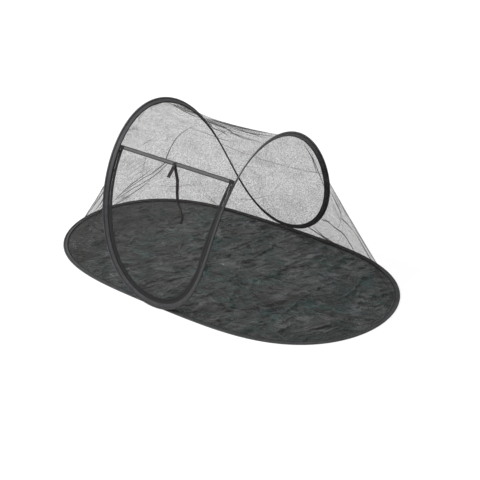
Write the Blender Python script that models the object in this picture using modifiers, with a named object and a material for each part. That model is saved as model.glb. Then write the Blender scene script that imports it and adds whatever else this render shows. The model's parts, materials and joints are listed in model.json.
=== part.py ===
"""Pop-up mesh pet tent, in metres, +Z up, with its origin on the ground under its middle.

Two closed spring wires carry it. One lies in the folded hem of the groundsheet. The other is a
saddle: it touches the ground at the front and the back, and rises to an arch on the left and on
the right. Mesh fills the two ends, the saddle's back and roof, and the front, where the mesh is a
flap that a U-shaped zip closes under a header tape.
"""

import math

import bmesh
import bpy
import numpy as np
from mathutils import Matrix

MM = 0.001

# Floor outline, measured to the outer edge of its hem. A fullness is a share of the half size
FLOOR_LENGTH = 1.75
FLOOR_WIDTH = 0.877
FLOOR_SIDE_FULLNESS = 0.1131
FLOOR_END_FULLNESS = 0.0293

# Saddle hoop, measured to the middle of its sleeve
ARCH_SPACING = 0.707
ARCH_HEIGHT = 0.6992
HOOP_FOOT_OUTSET = 0.5 * MM
HOOP_FOOT_HEIGHT = 10.5 * MM
HOOP_SIDE_FULLNESS = 0.1093
ARCH_WAIST = -0.1406
ARCH_ROUNDING = 0.0274
ARCH_SHARPNESS = -0.0097

# The sleeve lies between its two fabrics' pulls: it points at a spot on the centre line
SLEEVE_AIM_HEIGHT = 0.3184
SLEEVE_AIM_PULL = (0.7824, 0.4255)

# Spring wires and their joining ferrules
WIRE_DIAMETER = 2.0 * MM
FERRULE_LENGTH = 30 * MM
FERRULE_WALL = 0.6 * MM
FERRULE_CLEARANCE = 0.35 * MM
WIRE_END_GAP = 1.0 * MM

# Folded bindings: the sleeve and the hem
BINDING_WIDTH = 22 * MM
BINDING_CLOTH = 0.9 * MM
BINDING_TURN = 2.4 * MM

# Cloths and the room that each leaves to the next
MESH_THICKNESS = 0.6 * MM
GROUNDSHEET_THICKNESS = 0.8 * MM
CLEARANCE = 0.3 * MM
SLOT_CLEARANCE = 0.5 * MM
TUCK = 10 * MM
GROUNDSHEET_STEP = 8 * MM

# How far the mesh leaves straight lines between its wires. The ends hang in near the feet, and bow
# out where they are longest
END_PANEL_SAG = 0.045
END_PANEL_BOW = 0.02
ROOF_SAG = 0.028
REAR_SEAM_HEIGHT = 0.383
SEAM_TAPE_WIDTH = 9 * MM
SEAM_TAPE_THICKNESS = 0.6 * MM

# Header tape over the door, and the door's fold line under it
HEADER_HEIGHT = 0.587
HEADER_WIDTH = 17 * MM
HEADER_THICKNESS = 1.2 * MM
HEADER_END = 2.5 * MM
SEAM_LAP = 8 * MM
HINGE_DROP = 66 * MM
HINGE_GAP = 0.6 * MM

# Coil zip
ZIP_FROM_SLEEVE = 9 * MM
TAPE_THICKNESS = 0.8 * MM
TAPE_WIDTH = 12 * MM
TAPE_FLAT = 6 * MM
TAPE_LEVEL = 2.6 * MM
COIL_WIDTH = 2.3 * MM
COIL_HEIGHT = 2.0 * MM
COIL_SPACE = 1.8 * MM
ZIP_TOP = 1 * MM
STOP_LENGTH = 3.5 * MM
FLAP_COIL_START = 6 * MM
STRIP_COIL_END = 1.5 * MM

# Zip sliders and pulls
SLIDER_LENGTH = 11 * MM
SLIDER_SHOULDER = 10.0 * MM
SLIDER_TAIL = 8.8 * MM
SLIDER_PLATE = 1.2 * MM
SLIDER_CLEARANCE = 0.4 * MM
BAIL_LENGTH = 7.2 * MM
BAIL_BAR = 1.2 * MM
BAIL_WIDTH = 1.6 * MM
BAIL_HOLE = 1.9 * MM
PULL_LENGTH = 30 * MM
PULL_WIDTH = 6 * MM
PULL_THICKNESS = 1.2 * MM
PULL_WINDOW = 4.0 * MM
PULL_RAIL = 1.2 * MM

# Tie straps sewn to the middle of the header
SHORT_TIE_WIDTH = 17 * MM
SHORT_TIE_LENGTH = 54 * MM
LONG_TIE_WIDTH = 13 * MM
LONG_TIE_LENGTH = 0.27
TIE_THICKNESS = 1.0 * MM

# The end nets stop this far from the centre line at the feet
FOOT_GAP = 4.6 * MM

# Angles round the hoop: 0 is the top of the right arch, 90 the back foot, 270 the front foot
FRONT = 270.0
BACK = 450.0

COLOURS = {
    "hem": ((0.049, 0.051, 0.052), 0.85, 0.0),
    "sleeve": ((0.055, 0.056, 0.058), 0.80, 0.0),
    "groundsheet": ((0.050, 0.060, 0.058), 0.60, 0.0),
    "mesh": ((0.030, 0.030, 0.032), 0.90, 0.0),
    "header": ((0.115, 0.115, 0.110), 0.85, 0.0),
    "zip_tape": ((0.020, 0.020, 0.022), 0.90, 0.0),
    "coil": ((0.012, 0.012, 0.013), 0.45, 0.0),
    "slider": ((0.020, 0.020, 0.022), 0.35, 0.8),
    "tie": ((0.018, 0.018, 0.020), 0.85, 0.0),
    "wire": ((0.450, 0.450, 0.460), 0.35, 1.0),
}


def unit(vector):
    return vector / np.linalg.norm(vector)


def mirrored(point):
    return np.array([-point[0], point[1], point[2]])


def hoop_point(degrees):
    """Middle of the sleeve, on the saddle-shaped hoop."""
    t = math.radians(degrees)
    x = math.cos(t)
    x += ARCH_WAIST * (math.cos(3 * t) - math.cos(t))
    x += ARCH_ROUNDING * (math.cos(5 * t) - math.cos(t))
    y = math.sin(t) + HOOP_SIDE_FULLNESS * (math.sin(t) + math.sin(3 * t))
    half_width = FLOOR_WIDTH / 2 + HOOP_FOOT_OUTSET
    lift = (1 + math.cos(2 * t)) / 2 + ARCH_SHARPNESS * (1 - math.cos(4 * t)) / 2
    z = HOOP_FOOT_HEIGHT + (ARCH_HEIGHT - HOOP_FOOT_HEIGHT) * lift
    return np.array([ARCH_SPACING / 2 * x, half_width * y, z])


def ring_point(degrees):
    """Outer edge of the floor's hem, on the ground."""
    t = math.radians(degrees)
    x = math.cos(t) + FLOOR_END_FULLNESS * (math.cos(3 * t) - math.cos(t))
    y = math.sin(t) + FLOOR_SIDE_FULLNESS * (math.sin(t) + math.sin(3 * t))
    return np.array([FLOOR_LENGTH / 2 * x, FLOOR_WIDTH / 2 * y, 0.0])


def direction(curve, degrees, step=0.02):
    return unit(curve(degrees + step) - curve(degrees - step))


def solve(function, target, low, high):
    """The angle between low and high at which a rising function reaches the target."""
    for _ in range(60):
        middle = (low + high) / 2
        low, high = (middle, high) if function(middle) < target else (low, middle)
    return (low + high) / 2


# Bindings. Each is one cloth folded round its wire, with the other cloths between its legs
SLOT = 3 * SLOT_CLEARANCE + 2 * MESH_THICKNESS
LAYER = (MESH_THICKNESS + SLOT_CLEARANCE) / 2
LEG_MIDDLE = (SLOT + BINDING_CLOTH) / 2
FERRULE_RADIUS = WIRE_DIAMETER / 2 + FERRULE_CLEARANCE + FERRULE_WALL
FOLD_STEPS = 6
FOLD_RADIUS = (FERRULE_RADIUS + CLEARANCE) / math.cos(math.pi / FOLD_STEPS) + BINDING_CLOTH / 2
FOLD_OUTER = FOLD_RADIUS + BINDING_CLOTH / 2
LIP = BINDING_WIDTH / 2
WIRE_IN_SLEEVE = FOLD_OUTER - LIP
MOUTH = LIP + BINDING_TURN


def sleeve_frame(degrees):
    """The sleeve's middle, the way its legs point, and the side that the end panel is on."""
    point = hoop_point(degrees)
    along = direction(hoop_point, degrees)
    aim = np.array([
        -SLEEVE_AIM_PULL[0] * point[0],
        -SLEEVE_AIM_PULL[1] * point[1],
        SLEEVE_AIM_HEIGHT - point[2],
    ])
    inward = unit(aim - aim.dot(along) * along)
    outer = ring_point(degrees) - point
    outer = outer - outer.dot(along) * along
    outer = unit(outer - outer.dot(inward) * inward)
    return point, inward, outer


def in_sleeve(degrees, along_leg, across):
    point, inward, outer = sleeve_frame(degrees)
    return point + along_leg * inward + across * outer


def in_hem(degrees, inset, height):
    """A point of the hem, at an inset from the floor's outer edge."""
    along = direction(ring_point, degrees)
    inward = np.array([-along[1], along[0], 0.0])
    return ring_point(degrees) + inset * inward + np.array([0.0, 0.0, height])


# The door's surface is ruled from leg to leg, through the sleeve's mouth
def door_edge(degrees):
    return in_sleeve(degrees, MOUTH, -LAYER)


def door_axes(degrees):
    """Along the zip, across it towards the door's middle, and out of the tent."""
    turn = degrees - FRONT
    rise = door_edge(FRONT + turn + 2.0) - door_edge(FRONT + max(turn - 2.0, 0.0))
    rise[0] = 0.0
    rise = unit(rise)
    outward = np.array([0.0, -rise[2], rise[1]])
    along = direction(door_edge, degrees)
    along = unit(along - along.dot(outward) * outward)
    return along, np.cross(outward, along), outward


def zip_offset(degrees):
    return door_edge(degrees) + ZIP_FROM_SLEEVE * door_axes(degrees)[1]


def circle_through(first, second, third):
    """Centre and axis of the circle through three points."""
    a = second - first
    b = third - first
    axis = np.cross(a, b)
    to_centre = np.cross(a.dot(a) * b - b.dot(b) * a, axis)
    return first + to_centre / (2 * axis.dot(axis)), unit(axis)


HEADER_ANGLE = solve(lambda t: hoop_point(t)[2], HEADER_HEIGHT, FRONT + 10.0, 359.0)
LEG_FOOT = FRONT + 0.57 * (HEADER_ANGLE - FRONT)
LEG_BLEND = 0.12 * (HEADER_ANGLE - FRONT)
LEG_CENTRE, LEG_AXIS = circle_through(
    zip_offset(LEG_FOOT), zip_offset((LEG_FOOT + HEADER_ANGLE) / 2), zip_offset(HEADER_ANGLE)
)


def from_axis(point):
    arm = point - LEG_CENTRE
    return arm - arm.dot(LEG_AXIS) * LEG_AXIS


LEG_START = unit(from_axis(zip_offset(HEADER_ANGLE)))
LEG_RADIUS = float(np.linalg.norm(zip_offset(HEADER_ANGLE) - LEG_CENTRE))
LEG_UP = np.cross(LEG_AXIS, LEG_START)
if LEG_UP[2] < 0:
    LEG_AXIS = -LEG_AXIS
    LEG_UP = -LEG_UP


def leg_distance(degrees):
    arm = unit(from_axis(zip_offset(degrees)))
    return LEG_RADIUS * math.atan2(arm.dot(LEG_UP), arm.dot(LEG_START))


def leg_radial(distance):
    angle = distance / LEG_RADIUS
    return math.cos(angle) * LEG_START + math.sin(angle) * LEG_UP


def leg_roll(degrees):
    """How far the door's surface is turned, about the zip's line, from the circle's own frame."""
    normal = door_axes(degrees)[2]
    return math.atan2(normal.dot(LEG_AXIS), normal.dot(leg_radial(leg_distance(degrees))))


LEG_ROLL = leg_roll((LEG_FOOT + HEADER_ANGLE) / 2)


def leg_frame(distance):
    """On the zip's round upper leg, at a distance above the header's middle."""
    radial = leg_radial(distance)
    along = np.cross(LEG_AXIS, radial)
    outward = math.cos(LEG_ROLL) * radial + math.sin(LEG_ROLL) * LEG_AXIS
    return LEG_CENTRE + LEG_RADIUS * radial, along, np.cross(outward, along), outward


def leg_angle(distance):
    return solve(leg_distance, distance, LEG_FOOT - 10.0, HEADER_ANGLE + 12.0)


def zip_frame(degrees):
    """On the zip's line at the right: a round leg above, blended into the foot's curve."""
    share = min(max((degrees - LEG_FOOT) / LEG_BLEND + 1.0, 0.0), 1.0)
    share = share * share * (3 - 2 * share)
    point = zip_offset(degrees)
    along, across, outward = door_axes(degrees)
    leg_point, leg_along, _, leg_outward = leg_frame(leg_distance(degrees))
    point = point + share * (leg_point - point)
    along = unit(along + share * (leg_along - along))
    outward = outward + share * (leg_outward - outward)
    outward = unit(outward - outward.dot(along) * along)
    return point, along, np.cross(outward, along), outward


def off(frame, across, outward):
    return frame[0] + across * frame[2] + outward * frame[3]


ZIP_TOP_ANGLE = leg_angle(ZIP_TOP)
ROOF_EDGE_ANGLE = leg_angle(SEAM_LAP / 2)
STRIP_TOP_ANGLE = leg_angle(-SEAM_LAP / 2)
HINGE_ANGLE = leg_angle(-HINGE_DROP)
SEAM_ANGLE = 360.0 + solve(lambda t: -hoop_point(t)[2], -REAR_SEAM_HEIGHT, 5.0, 85.0)
FOOT_SLIT = solve(lambda t: hoop_point(FRONT + t)[0], FOOT_GAP, 0.0, 20.0)


def stations():
    """Angles round the right half, from the front foot to the back one, shared by all cloths."""
    angles = set(np.linspace(FRONT, LEG_FOOT, 10))
    angles |= set(np.linspace(LEG_FOOT, HINGE_ANGLE, 7))
    angles |= {STRIP_TOP_ANGLE, ZIP_TOP_ANGLE, ROOF_EDGE_ANGLE, HINGE_ANGLE}
    angles |= set(np.linspace(ROOF_EDGE_ANGLE, SEAM_ANGLE, 12)[1:-1])
    angles |= set(np.linspace(SEAM_ANGLE, BACK, 9))
    return [float(angle) for angle in sorted(angles)]


RIGHT = stations()
ROUND = RIGHT + [2 * BACK - angle for angle in reversed(RIGHT[1:-1])]


def between(low, high):
    return [angle for angle in RIGHT if low - 1e-6 <= angle <= high + 1e-6]


# Making objects
def material(name):
    colour, roughness, metallic = COLOURS[name]
    made = bpy.data.materials.get(name)
    if made is None:
        made = bpy.data.materials.new(name)
        made.use_nodes = True
        shader = made.node_tree.nodes["Principled BSDF"]
        shader.inputs["Base Color"].default_value = (*colour, 1.0)
        shader.inputs["Roughness"].default_value = roughness
        shader.inputs["Metallic"].default_value = metallic
        made.diffuse_color = (*colour, 1.0)
    return made


def add(name, data, finish):
    made = bpy.data.objects.new(name, data)
    data.materials.clear()
    data.materials.append(material(finish))
    TENT.objects.link(made)
    return made


def sheet(name, rows, thickness, finish, closed=False, capped=False):
    """A cloth through rows of points, given its thickness evenly on both sides."""
    built = bmesh.new()
    grid = [[built.verts.new(point) for point in row] for row in rows]
    pairs = list(zip(grid, grid[1:])) + ([(grid[-1], grid[0])] if closed else [])
    for one, other in pairs:
        for k in range(len(one) - 1):
            built.faces.new((one[k], other[k], other[k + 1]))
            built.faces.new((one[k], other[k + 1], one[k + 1]))
    if capped:
        built.faces.new([row[-1] for row in grid])
    bmesh.ops.recalc_face_normals(built, faces=built.faces)
    data = bpy.data.meshes.new(name)
    built.to_mesh(data)
    built.free()
    data.shade_smooth()
    data.set_sharp_from_angle(angle=math.radians(40))
    made = add(name, data, finish)
    shell = made.modifiers.new("cloth", "SOLIDIFY")
    shell.thickness = thickness
    shell.offset = 0.0
    shell.use_even_offset = True
    shell.use_quality_normals = True
    return made


def loft(name, rings, finish):
    """A solid through closed rings of points, with flat ends."""
    built = bmesh.new()
    grid = [[built.verts.new(point) for point in ring] for ring in rings]
    for one, other in zip(grid, grid[1:]):
        for k in range(len(one)):
            following = (k + 1) % len(one)
            built.faces.new((one[k], one[following], other[following], other[k]))
    built.faces.new(grid[0])
    built.faces.new(grid[-1])
    bmesh.ops.recalc_face_normals(built, faces=built.faces)
    data = bpy.data.meshes.new(name)
    built.to_mesh(data)
    built.free()
    data.shade_smooth()
    data.set_sharp_from_angle(angle=math.radians(40))
    return add(name, data, finish)


def empty(name, place):
    made = bpy.data.objects.new(name, None)
    made.empty_display_size = 0.05
    made.location = place
    TENT.objects.link(made)
    return made


def carry(pivot, pieces):
    """Parent pieces to a pivot without moving them."""
    bpy.context.view_layer.update()
    for piece in pieces:
        piece.parent = pivot
        piece.matrix_parent_inverse = pivot.matrix_world.inverted()


# Frame wires
def wire(name, path):
    """An open ring of spring wire, whose two ends meet inside a ferrule."""
    data = bpy.data.curves.new(name, "CURVE")
    data.dimensions = "3D"
    data.bevel_depth = WIRE_DIAMETER / 2
    data.bevel_resolution = 1
    data.use_fill_caps = True
    spline = data.splines.new("POLY")
    spline.points.add(len(path) - 1)
    for point, place in zip(spline.points, path):
        point.co = (*place, 1.0)
    return add(name, data, "wire")


def on_chord(centre, degrees):
    """A point of the polygon that joins the shared angles' points of a curve."""
    after = next(k for k, angle in enumerate(ALL_ROUND) if angle > degrees)
    low, high = ALL_ROUND[after - 1], ALL_ROUND[after]
    share = (degrees - low) / (high - low)
    return (1 - share) * centre(low) + share * centre(high)


def wire_path(centre, low, high):
    """Points of a wire from one end to the other, at the shared angles."""
    angles = [low] + [a for a in ALL_ROUND if low < a < high] + [high]
    return [on_chord(centre, angle) for angle in angles]


def ferrule(name, centre, low, high):
    """A crimped tube, bent along with the wire that it joins."""
    middle_radius = FERRULE_RADIUS - FERRULE_WALL / 2
    rows = []
    for angle in [low] + [a for a in ALL_ROUND if low < a < high] + [high]:
        place = on_chord(centre, angle)
        along = direction(centre, angle)
        side = unit(np.cross(along, (0.0, 0.0, 1.0)))
        top = np.cross(side, along)
        turns = [math.tau * k / 10 for k in range(10)]
        rows.append([
            place + middle_radius * (math.cos(turn) * side + math.sin(turn) * top)
            for turn in turns
        ])
    rings = [row + [row[0]] for row in rows]
    made = sheet(name, rings, FERRULE_WALL, "wire")
    weld(made)
    return made


def weld(made):
    """Join the first and last points of rings that close on themselves."""
    built = bmesh.new()
    built.from_mesh(made.data)
    bmesh.ops.remove_doubles(built, verts=built.verts, dist=0.01 * MM)
    built.to_mesh(made.data)
    built.free()


def hoop_wire_point(degrees):
    return in_sleeve(degrees, WIRE_IN_SLEEVE, 0.0)


def ring_wire_point(degrees):
    return in_hem(degrees, FOLD_OUTER, FOLD_OUTER)


ALL_ROUND = sorted({angle % 360.0 for angle in ROUND} | {a % 360.0 + 360.0 for a in ROUND})


def framed_wire(name, centre, near_angle):
    """A wire ring cut midway between two shared angles, and the ferrule over the cut."""
    after = next(k for k, angle in enumerate(ALL_ROUND) if angle > near_angle)
    joint = (ALL_ROUND[after - 1] + ALL_ROUND[after]) / 2
    per_degree = float(np.linalg.norm(centre(joint + 0.5) - centre(joint - 0.5)))
    gap = WIRE_END_GAP / 2 / per_degree
    reach = FERRULE_LENGTH / 2 / per_degree
    wire(name + "_wire", wire_path(centre, joint + gap, joint + 360.0 - gap))
    ferrule(name + "_ferrule", centre, joint - reach, joint + reach)


# Bindings
def fold(centre, low, high):
    """The round of cloth over a wire, from one leg to the other."""
    turns = [math.radians(turn) for turn in np.linspace(low, high, FOLD_STEPS)]
    return [(centre[0] + FOLD_RADIUS * math.cos(a), centre[1] + FOLD_RADIUS * math.sin(a)) for a in turns]


def hoop_sleeve():
    start = math.degrees(math.asin(LEG_MIDDLE / FOLD_RADIUS))
    section = [(LIP, LEG_MIDDLE)]
    section += fold((WIRE_IN_SLEEVE, 0.0), start, 360.0 - start)
    section += [(LIP, -LEG_MIDDLE)]
    rows = [[in_sleeve(angle, u, v) for u, v in section] for angle in ROUND]
    return sheet("hoop_sleeve", rows, BINDING_CLOTH, "sleeve", closed=True)


HEM_BOTTOM = BINDING_CLOTH / 2
HEM_TOP = HEM_BOTTOM + 2 * LEG_MIDDLE
HEM_SHEET_LEVEL = BINDING_CLOTH + CLEARANCE + GROUNDSHEET_THICKNESS / 2
HEM_MESH_LEVEL = HEM_TOP - BINDING_CLOTH / 2 - SLOT_CLEARANCE - MESH_THICKNESS / 2


def floor_hem():
    start = math.degrees(math.asin((HEM_TOP - FOLD_OUTER) / FOLD_RADIUS))
    section = [(BINDING_WIDTH, HEM_TOP)]
    section += fold((FOLD_OUTER, FOLD_OUTER), start, 270.0)[:-1]
    section += [(FOLD_OUTER, HEM_BOTTOM), (BINDING_WIDTH, HEM_BOTTOM)]
    rows = [[in_hem(angle, w, z) for w, z in section] for angle in ROUND]
    return sheet("floor_hem", rows, BINDING_CLOTH, "hem", closed=True)


def floor_sheet():
    """The groundsheet: its edge is held in the hem, and the rest lies on the ground."""
    mouth = BINDING_WIDTH + BINDING_TURN
    section = [
        (BINDING_WIDTH - TUCK, HEM_SHEET_LEVEL),
        (mouth, HEM_SHEET_LEVEL),
        (mouth + GROUNDSHEET_STEP, GROUNDSHEET_THICKNESS / 2),
    ]
    rows = [[in_hem(angle, w, z) for w, z in section] for angle in ROUND]
    return sheet("floor_sheet", rows, GROUNDSHEET_THICKNESS, "groundsheet", closed=True, capped=True)


# Mesh panels
def end_panel_row(angle, columns=6):
    """From inside the sleeve's slot, down over the bowed mesh, into the hem's slot."""
    top = in_sleeve(angle, MOUTH, LAYER)
    low = in_hem(angle, BINDING_WIDTH + BINDING_TURN, HEM_MESH_LEVEL)
    run = low - top
    level = unit(direction(hoop_point, angle) + direction(ring_point, angle))
    inward = unit(np.cross(level, run))
    reach = np.linalg.norm(run) / (FLOOR_LENGTH / 2)
    row = [in_sleeve(angle, LIP - TUCK, LAYER)]
    for k in range(columns + 1):
        share = k / columns
        arc = 4 * share * (1 - share)
        hang = arc * END_PANEL_SAG * reach * (1 - reach**2) - arc**2 * END_PANEL_BOW * reach**6
        row.append(top + share * run + hang * inward)
    row.append(in_hem(angle, BINDING_WIDTH - TUCK, HEM_MESH_LEVEL))
    return row


def end_panels():
    angles = [FRONT + FOOT_SLIT] + RIGHT[1:-1] + [BACK - FOOT_SLIT]
    rows = [end_panel_row(angle) for angle in angles]
    sheet("end_panel_right", rows, MESH_THICKNESS, "mesh")
    left = [[mirrored(point) for point in row] for row in rows]
    sheet("end_panel_left", left, MESH_THICKNESS, "mesh")


def saddle_row(angle, drop=0.0, columns=8):
    """Across the roof or the back, from one side of the sleeve to the other."""
    edge = in_sleeve(angle, MOUTH, -LAYER)
    width = edge[0] / (ARCH_SPACING / 2)
    row = [in_sleeve(angle, LIP - TUCK, -LAYER)]
    for k in range(columns + 1):
        across = 1 - 2 * k / columns
        sag = ROOF_SAG * width * width * (1 - across * across)
        level = roof_fade(angle) * sag
        row.append(np.array([across * edge[0], edge[1], edge[2]]) - level * saddle_up(angle))
    row.append(mirrored(in_sleeve(angle, LIP - TUCK, -LAYER)))
    row[1:-1] = [point - drop * saddle_up(angle) for point in row[1:-1]]
    return row


def saddle_up(angle):
    """Out of the tent, square to the roof or back where it crosses the centre line."""
    run = in_sleeve(angle + 1.0, MOUTH, -LAYER) - in_sleeve(angle - 1.0, MOUTH, -LAYER)
    run[0] = 0.0
    return unit(np.array([0.0, -run[2], run[1]]))


def roof_fade(angle):
    """The header holds the roof's front edge straight, so the sag grows away from it."""
    share = min(max((angle - ROOF_EDGE_ANGLE) / 30.0, 0.0), 1.0)
    return share * (2 - share)


def saddle_panels():
    """Roof and back meet edge to edge, under a tape."""
    per_degree = float(np.linalg.norm(hoop_point(SEAM_ANGLE + 0.5) - hoop_point(SEAM_ANGLE - 0.5)))
    edge = CLEARANCE / 2 / per_degree
    reach = SEAM_TAPE_WIDTH / 2 / per_degree
    foot = BACK - 2 * FOOT_SLIT
    roof = between(ROOF_EDGE_ANGLE, SEAM_ANGLE - 1.0) + [SEAM_ANGLE - edge]
    sheet("roof_panel", [saddle_row(angle) for angle in roof], MESH_THICKNESS, "mesh")
    back = [SEAM_ANGLE + edge] + between(SEAM_ANGLE + 1.0, foot) + [foot]
    sheet("rear_panel", [saddle_row(angle) for angle in back], MESH_THICKNESS, "mesh")
    rise = MESH_THICKNESS / 2 + CLEARANCE + SEAM_TAPE_THICKNESS / 2
    tape = [saddle_row(angle, -rise)[1:-1] for angle in (SEAM_ANGLE - reach, SEAM_ANGLE + reach)]
    sheet("rear_seam_tape", tape, SEAM_TAPE_THICKNESS, "mesh")


# Zip. Offsets are measured across it, towards the door's middle, and out of the tent
COIL_INNER = COIL_SPACE / 2
COIL_OUTER = COIL_INNER + COIL_WIDTH
TAPE_EDGE = COIL_OUTER + CLEARANCE
TAPE_END = TAPE_EDGE + TAPE_WIDTH
MESH_EDGE = TAPE_EDGE + TAPE_FLAT
MESH_UNDER = -(TAPE_THICKNESS / 2 + CLEARANCE + MESH_THICKNESS / 2)
HEADER_LEVEL = MESH_THICKNESS / 2 + CLEARANCE + HEADER_THICKNESS / 2
STOP_TOP = -(HEADER_WIDTH / 2 + CLEARANCE)
COIL_TOP = STOP_TOP - STOP_LENGTH - CLEARANCE
SLIDER_PARK = COIL_TOP - SLIDER_LENGTH / 2


def zip_angles(low, high):
    """The shared angles, twice as close where sliders run, from low to high."""
    shared = [low] + [a for a in RIGHT if low + 0.05 < a < high - 0.05] + [high]
    found = []
    for one, other in zip(shared, shared[1:]):
        found.append(one)
        if one >= LEG_FOOT:
            found.append((one + other) / 2)
    return found + [high]


def round_the_u(row, top):
    """Rows from the top of the right leg, under the door, to the top of the left one."""
    right = [row(angle) for angle in zip_angles(FRONT, top)]
    left = [[mirrored(point) for point in one] for one in right[1:]]
    return right[::-1] + left


def both_sides(name, build, row, angles, *more):
    rows = [row(angle) for angle in angles]
    build(name + "_right", rows, *more)
    build(name + "_left", [[mirrored(point) for point in one] for one in rows], *more)


def coil_ring(angle, side):
    """A slightly flattened round of coil, on the sleeve's side (-1) or the door's (1)."""
    frame = zip_frame(angle)
    middle = side * (COIL_INNER + COIL_OUTER) / 2
    half = COIL_WIDTH / 2
    level = COIL_HEIGHT / 2
    ring = ((1, 0), (0.6, 1), (-0.6, 1), (-1, 0), (-0.6, -1), (0.6, -1))
    return [off(frame, middle + half * a, level * b) for a, b in ring]


def outer_tape_row(angle):
    return [
        on_chord(lambda a: in_sleeve(a, LIP - TUCK, -LAYER), angle),
        on_chord(door_edge, angle),
        off(zip_frame(angle), -TAPE_EDGE - TAPE_LEVEL, 0.0),
        off(zip_frame(angle), -TAPE_EDGE, 0.0),
    ]


def door_tape_row(angle):
    frame = zip_frame(angle)
    return [off(frame, TAPE_EDGE, 0.0), off(frame, TAPE_END, 0.0)]


def door_row(angle, columns=6):
    """Across the door, with its edges under the zip's tape."""
    frame = zip_frame(angle)
    inner = off(frame, TAPE_END + 5 * MM, 0.0)
    row = [off(frame, MESH_EDGE, MESH_UNDER), off(frame, TAPE_END + 1 * MM, MESH_UNDER)]
    for k in range(columns + 1):
        row.append(inner * np.array([1 - 2 * k / columns, 1.0, 1.0]))
    return row + [mirrored(point) for point in reversed(row[:2])]


def near(distance):
    return leg_angle(distance)


def door_front():
    """The mesh under the header, and the flap that folds up along its lower edge."""
    strip_low = near(HINGE_GAP / 2 - HINGE_DROP)
    flap_top = near(-HINGE_GAP / 2 - HINGE_DROP)
    angles = [strip_low] + between(strip_low + 0.2, STRIP_TOP_ANGLE)
    sheet("front_strip", [door_row(angle) for angle in angles], MESH_THICKNESS, "mesh")
    rows = [door_row(angle) for angle in between(FRONT, flap_top - 0.2) + [flap_top]]
    panel = sheet("door_panel", rows, MESH_THICKNESS, "mesh")
    weld(panel)

    sheet("zip_outer_tape", round_the_u(outer_tape_row, ZIP_TOP_ANGLE), TAPE_THICKNESS, "zip_tape")
    both_sides(
        "strip_tape", sheet, door_tape_row, zip_angles(strip_low, ZIP_TOP_ANGLE), TAPE_THICKNESS, "zip_tape"
    )
    tape = sheet("zip_door_tape", round_the_u(door_tape_row, flap_top), TAPE_THICKNESS, "zip_tape")

    coil_top = near(COIL_TOP)
    loft("zip_outer_coil", round_the_u(lambda a: coil_ring(a, -1), coil_top), "coil")
    strip = zip_angles(near(STRIP_COIL_END - HINGE_DROP), coil_top)
    both_sides("strip_coil", loft, lambda a: coil_ring(a, 1), strip, "coil")
    flap_coil = near(-FLAP_COIL_START - HINGE_DROP)
    coil = loft("zip_door_coil", round_the_u(lambda a: coil_ring(a, 1), flap_coil), "coil")
    both_sides("zip_stop", loft, stop_ring, (near(STOP_TOP - STOP_LENGTH), near(STOP_TOP)), "coil")

    hinge = off(zip_frame(HINGE_ANGLE), TAPE_END + 5 * MM, MESH_THICKNESS / 2)
    pivot = empty("door_pivot", (0.0, hinge[1], hinge[2]))
    carry(pivot, [panel, tape, coil])
    return pivot


def stop_ring(angle):
    frame = zip_frame(angle)
    level = COIL_HEIGHT / 2
    corners = ((-COIL_OUTER, -level), (COIL_OUTER, -level), (COIL_OUTER, level), (-COIL_OUTER, level))
    return [off(frame, a, b) for a, b in corners]


# Header tape and ties
def header_row(distance, level):
    """Across the front at a distance above the header's middle line."""
    frame = leg_frame(distance)
    angle = leg_angle(distance)
    _, across, outward = door_axes(angle)
    right = [
        door_edge(angle) + HEADER_END * across + level * outward,
        off(frame, 0.0, level),
        off(frame, TAPE_END + 5 * MM, level),
    ]
    inner = right[-1]
    middle = [inner * np.array([share, 1.0, 1.0]) for share in (0.5, 0.0, -0.5)]
    return right + middle + [mirrored(point) for point in reversed(right)]


def door_header():
    half = HEADER_WIDTH / 2
    rows = [header_row(distance, HEADER_LEVEL) for distance in (-half, 0.0, half)]
    sheet("door_header", rows, HEADER_THICKNESS, "header")


def middle_point(distance, level):
    """On the centre line, at a distance above the header's middle and a height off the door."""
    point = off(leg_frame(distance), TAPE_END + 5 * MM, level)
    return np.array([0.0, point[1], point[2]])


def strap(name, points, width):
    side = np.array([width / 2, 0.0, 0.0])
    return sheet(name, [[point - side, point + side] for point in points], TIE_THICKNESS, "tie")


def ties():
    """The short tie lies on the front, outside. The long one hangs inside."""
    over = HEADER_LEVEL + HEADER_THICKNESS / 2 + CLEARANCE + TIE_THICKNESS / 2
    half = HEADER_WIDTH / 2
    strap("tie_patch", [middle_point(d, over) for d in (half - 1 * MM, 0.0, 1 * MM - half)], SHORT_TIE_WIDTH)
    top = -half - TIE_THICKNESS / 2 - CLEARANCE
    rest = MESH_THICKNESS / 2 + CLEARANCE + TIE_THICKNESS / 2
    shares = (0.0, 0.35, 0.7, 1.0)
    short = strap("short_tie", [middle_point(top - k * SHORT_TIE_LENGTH, rest) for k in shares], SHORT_TIE_WIDTH)
    short_pivot = empty("short_tie_pivot", middle_point(top, rest))
    carry(short_pivot, [short])

    under = HEADER_LEVEL - HEADER_THICKNESS / 2 - CLEARANCE - TIE_THICKNESS / 2
    high = middle_point(0.0, under)
    long = strap("long_tie", [high - np.array([0.0, 0.0, k * LONG_TIE_LENGTH]) for k in (0.0, 0.33, 0.67, 1.0)],
                 LONG_TIE_WIDTH)
    carry(empty("long_tie_pivot", high), [long])


# Sliders
def leg_matrix(distance, side):
    """Axes across the zip, up it and out of the tent, on the right leg (1) or the left (-1)."""
    point, along, across, outward = leg_frame(distance)
    if side < 0:
        point, along, outward = mirrored(point), mirrored(along), mirrored(outward)
        across = -mirrored(across)
    rows = [[across[k], along[k], outward[k], point[k]] for k in range(3)]
    return Matrix(rows + [[0.0, 0.0, 0.0, 1.0]])


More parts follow.
